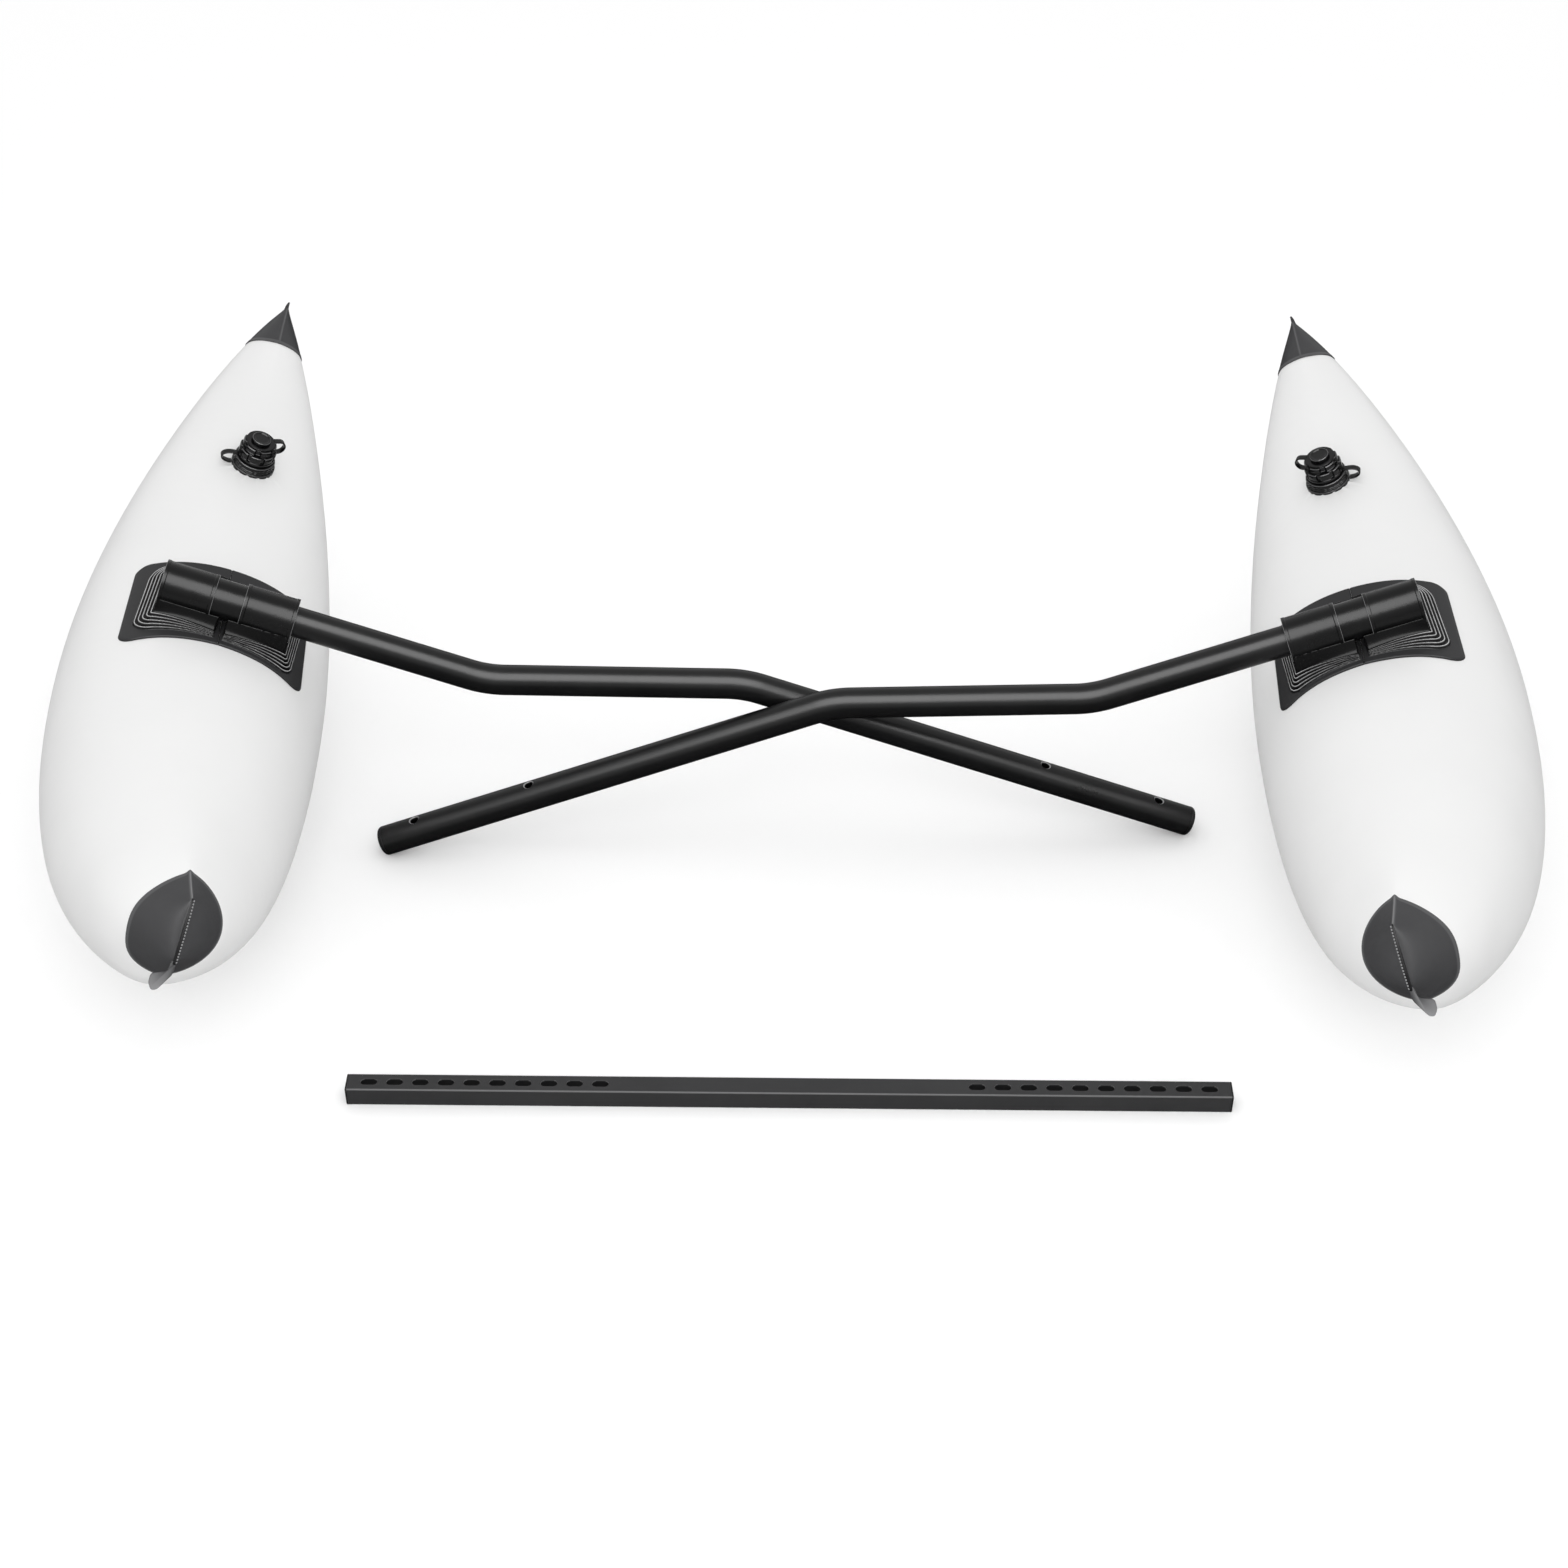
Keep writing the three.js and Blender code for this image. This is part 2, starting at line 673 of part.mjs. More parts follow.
// One float on its arm, in the sleeve frame. hand is 1 for the left side and -1 for the right side.
function floatAssembly(side, hand) {
  const assembly = new THREE.Group();
  const add = (name, geometry, finish) => {
    const shape = hand > 0 ? tidy(geometry) : mirrored(geometry);
    const mesh = new THREE.Mesh(shape, new THREE.MeshStandardMaterial(finish));
    mesh.name = `${side}_${name}`;
    assembly.add(mesh);
  };
  const onHull = hullMatrix();
  const onValve = onHull.clone().multiply(valveMatrix());
  const bodyLoop = new THREE.Matrix4().makeRotationZ(Math.PI + bodyLoopSwing);
  const capLoop = new THREE.Matrix4().makeRotationZ(capLoopSwing);
  const [outerEnd, , , innerEnd] = armCorners();

  add('hull', hullGeometry().applyMatrix4(onHull), finishes.hull);
  add('far_cap', endCapGeometry(1).applyMatrix4(onHull), finishes.greyFabric);
  add('near_cap', endCapGeometry(-1).applyMatrix4(onHull), finishes.greyFabric);
  add('far_fin', finGeometry(1).applyMatrix4(onHull), finishes.greyFabric);
  add('near_fin', finGeometry(-1).applyMatrix4(onHull), finishes.greyFabric);
  add('outer_saddle', padGeometry(-1).applyMatrix4(onHull), finishes.blackFabric);
  add('inner_saddle', padGeometry(1).applyMatrix4(onHull), finishes.blackFabric);
  add('outer_sleeve', sleeveGeometry(-1), finishes.blackFabric);
  add('inner_sleeve', sleeveGeometry(1), finishes.blackFabric);
  add('liner', linerGeometry(), finishes.blackPlastic);

  add('valve_base', valveBaseGeometry().applyMatrix4(onValve), finishes.blackPlastic);
  const bodyNeck = bodyStemRadius - threadGap * 2;
  const bodyTether = tetherGeometry(
    bodyNeck, bodyRadius - baseChamfer, baseTop + seatGap, flangeRadius, bodyLoopReach, bodyLoopDrop,
  );
  add('body_tether', bodyTether.applyMatrix4(bodyLoop).applyMatrix4(onValve), finishes.blackPlastic);
  add('valve_body', valveBodyGeometry().applyMatrix4(onValve), finishes.blackPlastic);
  add('valve_flap', flapGeometry().applyMatrix4(onValve), finishes.blackPlastic);
  const capTether = tetherGeometry(
    capNeckRadius, capRadius - 2 * baseChamfer, capTop + seatGap, bodyRadius, capLoopReach, capLoopDrop,
  );
  add('cap_tether', capTether.applyMatrix4(capLoop).applyMatrix4(onValve), finishes.blackPlastic);
  add('valve_cap', valveCapGeometry().applyMatrix4(onValve), finishes.blackPlastic);

  add('arm', armGeometry(), finishes.tube);
  const outerPlug = armPlugGeometry().rotateY(-Math.PI / 2).translate(outerEnd[0], 0, outerEnd[1]);
  const innerPlug = armPlugGeometry().rotateY(Math.PI / 2).translate(innerEnd[0], 0, innerEnd[1]);
  add('arm_outer_plug', outerPlug, finishes.blackPlastic);
  add('arm_inner_plug', innerPlug, finishes.blackPlastic);
  return assembly;
}

function lowest(assembly, names) {
  assembly.updateMatrixWorld(true);
  const box = new THREE.Box3();
  for (const name of names) box.expandByObject(assembly.getObjectByName(name), true);
  return box.min.z;
}

// Tilts an assembly until its keel and the inner end of its arm stand on one level, then stands it on z = 0
function standOnGround(assembly, side, hand) {
  let low = 0;
  let high = 2 * armBend;
  const turnTo = (tilt) => assembly.rotation.set(0, hand * tilt, hand * armYaw, 'ZYX');
  const keel = () => lowest(assembly, [`${side}_hull`]);
  const tip = () => lowest(assembly, [`${side}_arm`, `${side}_arm_inner_plug`]);
  for (let i = 0; i < 30; i++) {
    const tilt = (low + high) / 2;
    turnTo(tilt);
    if (tip() > keel()) low = tilt;
    else high = tilt;
  }
  assembly.position.z = -keel();
}

// Square tube outline with a bore, in the plane across the crossbar
function barSection(half, corner, bore) {
  const square = (outline, reach, rounding) => {
    outline.moveTo(-reach + rounding, -reach);
    outline.lineTo(reach - rounding, -reach);
    outline.lineTo(reach, -reach + rounding);
    outline.lineTo(reach, reach - rounding);
    outline.lineTo(reach - rounding, reach);
    outline.lineTo(-reach + rounding, reach);
    outline.lineTo(-reach, reach - rounding);
    outline.lineTo(-reach, -reach + rounding);
    outline.closePath();
    return outline;
  };
  const section = square(new THREE.Shape(), half, corner);
  if (bore) section.holes.push(square(new THREE.Path(), bore, corner / 2));
  return section;
}

function slotPlaces() {
  const places = [];
  for (let i = 0; i < slotCount; i++) {
    const x = barLength / 2 - slotFromEnd - i * slotPitch;
    places.push(-x, x);
  }
  return places;
}

function crossbarGeometry() {
  const half = barSize / 2;
  const tube = plate(barSection(half, barCorner, half - barWall), barLength).rotateY(Math.PI / 2);
  const end = slotWidth / 2;
  const straight = (slotLength - slotWidth) / 2;
  const slot = new THREE.Shape();
  slot.absarc(straight, 0, end, -Math.PI / 2, Math.PI / 2, false);
  slot.absarc(-straight, 0, end, Math.PI / 2, 3 * Math.PI / 2, false);
  const slots = slotPlaces().map((x) => plate(slot, 2 * barSize, 3).translate(x, 0, 0));
  return cut(tube, ...slots);
}

function barPlugGeometry() {
  const half = barSize / 2;
  const stemHalf = half - barWall - seatGap;
  const head = plate(barSection(half, barCorner, 0), barPlugFlange)
    .translate(0, 0, seatGap + barPlugFlange / 2);
  const stem = plate(barSection(stemHalf, barCorner, stemHalf - barPlugWall), barPlugStem + 2 * seatGap)
    .translate(0, 0, seatGap * 2 - (barPlugStem + 2 * seatGap) / 2);
  return join(head, stem);
}

function crossbarAssembly() {
  const assembly = new THREE.Group();
  const add = (name, geometry, finish) => {
    const mesh = new THREE.Mesh(tidy(geometry), new THREE.MeshStandardMaterial(finish));
    mesh.name = name;
    assembly.add(mesh);
  };
  add('crossbar', crossbarGeometry(), finishes.bar);
  const end = barLength / 2;
  add('crossbar_left_plug', barPlugGeometry().rotateY(-Math.PI / 2).translate(-end, 0, 0), finishes.blackPlastic);
  add('crossbar_right_plug', barPlugGeometry().rotateY(Math.PI / 2).translate(end, 0, 0), finishes.blackPlastic);
  assembly.position.set(0, barDepth, barSize / 2);
  assembly.rotation.z = barYaw;
  return assembly;
}

function outrigger() {
  const kit = new THREE.Group();
  const halfSpacing = (armDiameter + armCrossingGap) / 2;
  for (const [side, hand] of [['left', 1], ['right', -1]]) {
    const assembly = floatAssembly(side, hand);
    standOnGround(assembly, side, hand);
    assembly.position.x = -hand * sleeveCentreX;
    assembly.position.y = layoutDepth + hand * halfSpacing;
    kit.add(assembly);
  }
  kit.add(crossbarAssembly());
  kit.updateMatrixWorld(true);
  const box = new THREE.Box3().setFromObject(kit, true);
  kit.position.x = -(box.min.x + box.max.x) / 2;
  kit.position.y = -(box.min.y + box.max.y) / 2;
  kit.updateMatrixWorld(true);
  return kit;
}

export default outrigger();
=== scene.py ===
import json
import math

import bmesh
import bpy
import numpy as np
from mathutils import Matrix, Vector


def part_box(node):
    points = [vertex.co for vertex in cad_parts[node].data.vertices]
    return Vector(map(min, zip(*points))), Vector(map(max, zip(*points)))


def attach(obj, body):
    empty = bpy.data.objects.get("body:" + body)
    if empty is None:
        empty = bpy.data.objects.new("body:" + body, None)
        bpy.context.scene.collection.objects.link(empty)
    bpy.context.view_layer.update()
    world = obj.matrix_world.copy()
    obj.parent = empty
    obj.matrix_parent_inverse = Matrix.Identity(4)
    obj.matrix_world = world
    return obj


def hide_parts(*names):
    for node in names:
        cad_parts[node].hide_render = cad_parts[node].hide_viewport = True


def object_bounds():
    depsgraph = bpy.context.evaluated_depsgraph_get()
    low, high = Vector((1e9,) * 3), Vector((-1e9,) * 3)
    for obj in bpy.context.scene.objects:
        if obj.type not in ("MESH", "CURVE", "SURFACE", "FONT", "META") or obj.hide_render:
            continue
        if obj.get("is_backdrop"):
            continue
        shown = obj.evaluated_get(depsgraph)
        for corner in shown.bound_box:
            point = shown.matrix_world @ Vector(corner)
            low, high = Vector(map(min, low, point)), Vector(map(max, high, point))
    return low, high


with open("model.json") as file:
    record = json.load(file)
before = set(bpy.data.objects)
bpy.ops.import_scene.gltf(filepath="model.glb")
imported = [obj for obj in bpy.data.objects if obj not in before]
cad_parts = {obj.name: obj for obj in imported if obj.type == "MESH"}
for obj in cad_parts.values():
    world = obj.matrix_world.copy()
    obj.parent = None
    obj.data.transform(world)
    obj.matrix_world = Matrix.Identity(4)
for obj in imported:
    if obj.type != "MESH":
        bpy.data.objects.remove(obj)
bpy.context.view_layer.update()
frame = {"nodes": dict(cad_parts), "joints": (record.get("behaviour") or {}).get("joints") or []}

# Crossbar. A square aluminium tube with a charcoal powder coat, sawn to length. Ten slots near each end are
# milled right through it, so that the arms can be bolted on at different widths. A plug is pushed into each
# end. Sizes are millimetres up to the studio, and each piece's place turns them to metres.
bar_length = 800
bar_size = 20
bar_wall = 1.5
bar_corner = 1.2
bar_yaw = math.radians(-0.7)
edge_bevel_width = 0.3
bevel_edge_turn = math.radians(50)
slanting_below = 0.985
slots_each_end = 10
slot_pitch = 23.35
slot_length = 15.2
slot_width = 7.4
slot_from_end = 19.2
slot_end_share = 0.499
slot_end_points = 9
cutter_weld = 0.0005
bar_plug_stem = 9
bar_plug_lead = 1.2
bar_plug_gap = 0.3
bar_plug_flange = 1.5
in_millimetres = Matrix.Scale(0.001, 4)
point_weld = 1e-5


def placed(tree, kind, settings, inputs):
    """A new node in a tree, with its settings made and its inputs joined or filled in."""
    node = tree.nodes.new(kind)
    for name, setting in (settings or {}).items():
        setattr(node, name, setting)
    for name, value in (inputs or {}).items():
        for source in value if isinstance(value, list) else [value]:
            source = source.socket if isinstance(source, Value) else source
            if isinstance(source, bpy.types.NodeSocket):
                tree.links.new(source, node.inputs[name])
            else:
                node.inputs[name].default_value = source
    return node


class Value:
    """What one shader node gives. Sums, products and powers of it add the Math nodes that they need."""

    def __init__(self, finish, socket):
        self.finish = finish
        self.socket = socket

    def maths(self, operation, other):
        return self.finish.node("Math", {"operation": operation}, {0: self, 1: other})

    def __add__(self, other):
        return self.maths("ADD", other)

    def __mul__(self, other):
        return self.maths("MULTIPLY", other)

    def __pow__(self, other):
        return self.maths("POWER", other)


class Finish:
    """A surface finish in the making: node places every part of it, and coat closes it."""

    def __init__(self, name):
        self.material = bpy.data.materials.new(name)
        self.material.use_nodes = True
        self.tree = self.material.node_tree
        self.tree.nodes.clear()
        self.place = self.node("TexCoord", output="Object")

    def node(self, kind, settings=None, inputs=None, output=0):
        node = placed(self.tree, "ShaderNode" + kind, settings, inputs)
        return Value(self, node.outputs[output]) if node.outputs else None

    def cloud(self, scale, detail=3.0, rough=0.6):
        """Soft random patches around 0.5; scale is how many there are to a metre."""
        return self.node("TexNoise", None, {
            "Vector": self.place, "Scale": scale, "Detail": detail, "Roughness": rough})

    def mark(self, name="edge"):
        """The value that the mesh itself carries by this name, such as on edges painted with a highlight."""
        return self.node("Attribute", {"attribute_name": name}, None, "Fac")

    def between(self, share, first, second):
        first, second = (end if isinstance(end, Value) else (*end, 1) for end in (first, second))
        return self.node("Mix", {"data_type": "RGBA"}, {0: share, 6: first, 7: second}, 2)

    def coat(self, colour, roughness, shine, relief=None, depth=0.0):
        """Closes the finish; depth is how far its relief stands out, in metres."""
        inputs = {"Base Color": colour, "Roughness": roughness, "Specular IOR Level": shine}
        if relief is not None:
            inputs["Normal"] = self.node("Bump", None, {"Height": relief, "Distance": depth, "Strength": 1.0})
        self.node("OutputMaterial", None, {"Surface": self.node("BsdfPrincipled", None, inputs)})
        return self.material


def patchy(name, scale, first, second, paler_colour=None, paler_share=0.8):
    """A finish in the making, its soft patches and its colour: two shades in patches, and a paler one on the
    places that the mesh marks; most of these marks are painted highlights."""
    finish = Finish(name)
    patches = finish.cloud(scale)
    colour = finish.between(patches, first, second)
    if paler_colour:
        colour = finish.between(finish.mark() * paler_share, colour, paler_colour)
    return finish, patches, colour


def made_by(mesh, kind, set_up):
    """The plain mesh that a modifier makes of a mesh; set_up fills in the modifier."""
    blank = bpy.data.objects.new("blank", mesh)
    bpy.context.scene.collection.objects.link(blank)
    set_up(blank.modifiers.new("rule", kind))
    graph = bpy.context.evaluated_depsgraph_get()
    result = bpy.data.meshes.new_from_object(blank.evaluated_get(graph))
    bpy.data.objects.remove(blank)
    return result


class Rule:
    """A Geometry Nodes tree: size names each of its inputs, node places every other node."""

    def __init__(self, name):
        self.tree = bpy.data.node_groups.new(name, "GeometryNodeTree")
        for way in ("INPUT", "OUTPUT"):
            self.tree.interface.new_socket(name="Geometry", in_out=way, socket_type="NodeSocketGeometry")
        self.given = self.tree.nodes.new("NodeGroupInput")
        self.made = self.tree.nodes.new("NodeGroupOutput")
        self.sizes = {}

    def size(self, name, value, kind="Float"):
        socket = self.tree.interface.new_socket(name=name, in_out="INPUT", socket_type="NodeSocket" + kind)
        self.sizes[socket.identifier] = value
        return next(output for output in self.given.outputs if output.identifier == socket.identifier)

    def node(self, kind, settings=None, inputs=None):
        kind = kind if kind.startswith("Shader") else "GeometryNode" + kind
        return placed(self.tree, kind, settings, inputs).outputs[0]

    def maths(self, operation, first, second):
        return self.node("ShaderNodeMath", {"operation": operation}, {0: first, 1: second})

    def vector(self, **parts):
        return self.node("ShaderNodeCombineXYZ", None, parts)

    def apply(self, mesh, geometry, finish):
        """Runs the tree on a mesh and gives back the plain mesh that comes out."""
        whole = self.node("RealizeInstances", None, {"Geometry": geometry})
        painted = self.node("SetMaterial", None, {
            "Geometry": whole, "Material": self.size("Finish", finish, "Material")})
        self.tree.links.new(painted, self.made.inputs[0])

        def set_up(modifier):
            modifier.node_group = self.tree
            for identifier, value in self.sizes.items():
                modifier[identifier] = value

        return made_by(mesh, "NODES", set_up)


def mesh_of(points, faces):
    mesh = bpy.data.meshes.new("blank")
    mesh.from_pydata([tuple(point) for point in points], [], faces)
    mesh.validate()
    return mesh


def band(first, second):
    """The faces between two loops of equal counts."""
    following = [*range(1, len(first)), 0]
    return [[first[j], first[k], second[k], second[j]] for j, k in enumerate(following)]


def skin_through(rings, pipe=False):
    """A skin through rings of equal counts: a closed loop like a pipe's wall, or a face over each end."""
    count = len(rings[0])
    loops = [range(i * count, (i + 1) * count) for i in range(len(rings))]
    faces = [face for i in range(0 if pipe else 1, len(rings)) for face in band(loops[i - 1], loops[i])]
    if pipe:
        faces = faces[count:] + faces[:count]
    else:
        faces += [list(loops[0])[::-1], list(loops[-1])]
    return np.concatenate(rings), faces


def faces_outward(mesh, weld=0):
    """Turns the faces outwards, and welds doubled points first where a distance is given."""
    work = bmesh.new()
    work.from_mesh(mesh)
    if weld:
        bmesh.ops.remove_doubles(work, verts=work.verts, dist=weld)
        bmesh.ops.dissolve_degenerate(work, edges=work.edges, dist=weld)
    bmesh.ops.recalc_face_normals(work, faces=work.faces)
    work.to_mesh(mesh)
    work.free()
    return mesh


def skin_of(rings, pipe=False):
    return faces_outward(mesh_of(*skin_through(rings, pipe)), point_weld)


def mark(mesh, values, name="edge", domain="POINT"):
    """Gives each point or face of a mesh its own value, which the finish reads by name."""
    mesh.attributes.new(name, "FLOAT", domain).data.foreach_set("value", np.asarray(values, np.float32))
    return mesh


def fit(name, mesh, finish, body, stands_for, place, sharp=35):
    mesh.transform(place)
    if place.determinant() < 0:
        mesh.flip_normals()
    mesh.materials.clear()
    mesh.materials.append(finish)
    if sharp:
        mesh.shade_smooth()
        mesh.set_sharp_from_angle(angle=math.radians(sharp))
    else:
        mesh.shade_flat()
    mesh.name = name
    piece = bpy.data.objects.new(name, mesh)
    bpy.context.scene.collection.objects.link(piece)
    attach(piece, body)
    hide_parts(*stands_for)


def rounded_square(half, corner, along, steps=4):
    """A square ring with rounded corners, across the bar at one place along it."""
    reach = (half - corner) * math.sqrt(2)
    ring = []
    for quarter in range(4):
        middle = math.pi / 4 + math.pi / 2 * quarter
        for step in range(steps + 1):
            turn = math.pi / 2 * (quarter + step / steps)
            ring.append((along, reach * math.cos(middle) + corner * math.cos(turn),
                         reach * math.sin(middle) + corner * math.sin(turn)))
    return np.array(ring)


def charcoal_powder_coat():
    # The paler colour is painted on the bar's bevelled edges, as a painted highlight.
    finish, patches, colour = patchy("charcoal_powder_coat", 14, (0.026, 0.026, 0.027), (0.037, 0.037, 0.038),
                                     (0.16, 0.16, 0.162), 0.6)
    return finish.coat(colour, patches * 0.12 + 0.44, 0.12, finish.cloud(1400, 2, 0.5), 0.00006)


def black_plug_plastic():
    finish, patches, colour = patchy("black_plug_plastic", 60, (0.005, 0.005, 0.0052), (0.009, 0.009, 0.0092))
    return finish.coat(colour, patches * 0.15 + 0.33, 0.25, finish.cloud(2200, 2, 0.5), 0.00003)


def bevel_edges(modifier):
    modifier.width = edge_bevel_width
    modifier.segments = 2
    modifier.limit_method = "ANGLE"
    modifier.angle_limit = bevel_edge_turn


bar_low, bar_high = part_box("crossbar")
bar_middle = (bar_low + bar_high) / 2
bar_place = Matrix.Translation(bar_middle) @ Matrix.Rotation(bar_yaw, 4, "Z") @ in_millimetres
bar_end = bar_length / 2
outside = bar_size / 2
inside = outside - bar_wall
bar_blank = skin_of([rounded_square(*ring) for ring in (
    (outside, bar_corner, -bar_end), (outside, bar_corner, bar_end),
    (inside, bar_corner / 2, bar_end), (inside, bar_corner / 2, -bar_end))], pipe=True)

milling = Rule("slots_milled_in_the_bar")
long_side = milling.size("Slot length", slot_length)
short_side = milling.size("Slot width", slot_width)
cutter_depth = milling.size("Cutter depth", 3 * bar_size)
outline = milling.node("CurvePrimitiveQuadrilateral", None, {"Width": long_side, "Height": short_side})
outline = milling.node("FilletCurve", {"mode": "POLY"}, {
    "Curve": outline, "Count": slot_end_points,
    "Radius": milling.maths("MULTIPLY", short_side, slot_end_share)})
face = milling.node("FillCurve", {"mode": "NGONS"}, {"Curve": outline})
raised = milling.node("ExtrudeMesh", {"mode": "FACES"}, {
    "Mesh": face, "Offset Scale": cutter_depth, "Individual": False})
floor_face = milling.node("FlipFaces", None, {"Mesh": face})
cutter = milling.node("JoinGeometry", None, {"Geometry": [raised, floor_face]})
cutter = milling.node("MergeByDistance", None, {"Geometry": cutter, "Distance": cutter_weld})
cutter = milling.node("Transform", None, {
    "Geometry": cutter, "Translation": milling.vector(Z=milling.maths("MULTIPLY", cutter_depth, -0.5))})
first_slot = milling.maths(
    "SUBTRACT", milling.size("Half length", bar_end), milling.size("From end", slot_from_end))
pitch = milling.size("Slot pitch", slot_pitch)
count = milling.size("Slots each end", slots_each_end, "Int")
rows = [milling.node("MeshLine", {"mode": "OFFSET"}, {
    "Count": count, "Start Location": milling.vector(X=milling.maths("MULTIPLY", first_slot, hand)),
    "Offset": milling.vector(X=milling.maths("MULTIPLY", pitch, -hand))}) for hand in (1, -1)]
cutters = milling.node("InstanceOnPoints", None, {
    "Points": milling.node("JoinGeometry", None, {"Geometry": rows}), "Instance": cutter})
milled = milling.node("MeshBoolean", {"operation": "DIFFERENCE", "solver": "EXACT"}, {
    "Mesh 1": milling.given.outputs[0],
    "Mesh 2": milling.node("RealizeInstances", None, {"Geometry": cutters})})

powder_coat = charcoal_powder_coat()
bar_mesh = made_by(milling.apply(bar_blank, milled, powder_coat), "BEVEL", bevel_edges)
# The slanting bevel faces are marked to be painted paler, as a painted highlight.
mark(bar_mesh, [max(map(abs, face.normal)) < slanting_below for face in bar_mesh.polygons], domain="FACE")
fit("crossbar_tube", bar_mesh, powder_coat, "frame", ["crossbar"], bar_place, sharp=None)

plug_plastic = black_plug_plastic()
stem = inside - bar_plug_gap
base = bar_end + bar_plug_gap
for hand, side in ((-1, "left"), (1, "right")):
    plug_mesh = skin_of([rounded_square(*ring) for ring in (
        (stem - 0.6, 0.5, base - bar_plug_stem), (stem, 0.8, base - bar_plug_stem + bar_plug_lead),
        (stem, 0.8, base), (outside, bar_corner, base), (outside, bar_corner, base + bar_plug_flange * 0.55),
        (outside - 0.25, bar_corner, base + bar_plug_flange * 0.85),
        (outside - 0.8, bar_corner, base + bar_plug_flange))])
    fit(f"crossbar_{side}_end_plug", plug_mesh, plug_plastic, "frame",
        [f"crossbar_{side}_plug"], bar_place @ Matrix.Diagonal((hand, 1, 1, 1)))

# Arms. Each is one round aluminium tube with a satin black coat, bent twice in one plane, so that its outer
# run carries a float and its inner run lies on the crossbar. Two bolt holes are drilled down through the
# inner run, with their rims broken, and a domed plastic plug is pushed into each end.
tube_radius = 15
tube_wall = 1.8
tube_bend = math.radians(20.3)
tube_bend_radius = 100
outer_run = 193.5
middle_run = 253
inner_run = 478
tube_sides = 48
bend_steps = 20
bolt_hole = 4.5
bolt_hole_lip = 1.0
bolt_hole_from_end = 37
bolt_hole_spacing = 125
hole_cells = 4
hole_cell_length = 1.9
sleeve_end = 65
plug_head = 4.5
plug_rounding = 4
plug_crown = 0.5
plug_stem = 22
plug_gap = 0.3
plug_wall = 2


def sleeve_place(side):
    """Frame of one float's sleeves, in millimetres: X inboard along the arm, Y to the far end, Z up."""
    joint = next(joint for joint in frame["joints"] if joint["name"] == f"{side}_float_swivel")
    hand = 1 if side == "left" else -1
    along = Vector(joint["axis"]).normalized()
    across = (Vector((0, 0, 1)).cross(along) * hand).normalized()
    place = Matrix((along, across, along.cross(across) * hand)).transposed().to_4x4()
    place.translation = Vector(joint["pos_m"])
    return place @ in_millimetres


def tube_line():
    """Stations along the arm's centreline as (x, z, heading), and where the bolt holes' stations start."""
    bend_at = sleeve_end + outer_run
    rise = middle_run * math.sin(tube_bend)
    second_at = bend_at + middle_run * math.cos(tube_bend)
    tip = second_at + inner_run
    tangent = tube_bend_radius * math.tan(tube_bend / 2)
    line = [(-sleeve_end + plug_head + 1, 0, 0)]
    for corner, level, start, finish in ((bend_at, 0, 0, tube_bend), (second_at, rise, tube_bend, 0)):
        radius = tube_bend_radius if finish > start else -tube_bend_radius
        x = corner - tangent * math.cos(start) - radius * math.sin(start)
        z = level - tangent * math.sin(start) + radius * math.cos(start)
        for step in range(bend_steps + 1):
            heading = start + (finish - start) * step / bend_steps
            line.append((x + radius * math.sin(heading), z - radius * math.cos(heading), heading))
    holes = []
    for distance in (bolt_hole_from_end + bolt_hole_spacing, bolt_hole_from_end):
        holes.append(len(line))
        for step in range(-hole_cells, hole_cells + 1):
            line.append((tip - distance + hole_cell_length * step, rise, 0))
    return line + [(tip, rise, 0)], holes


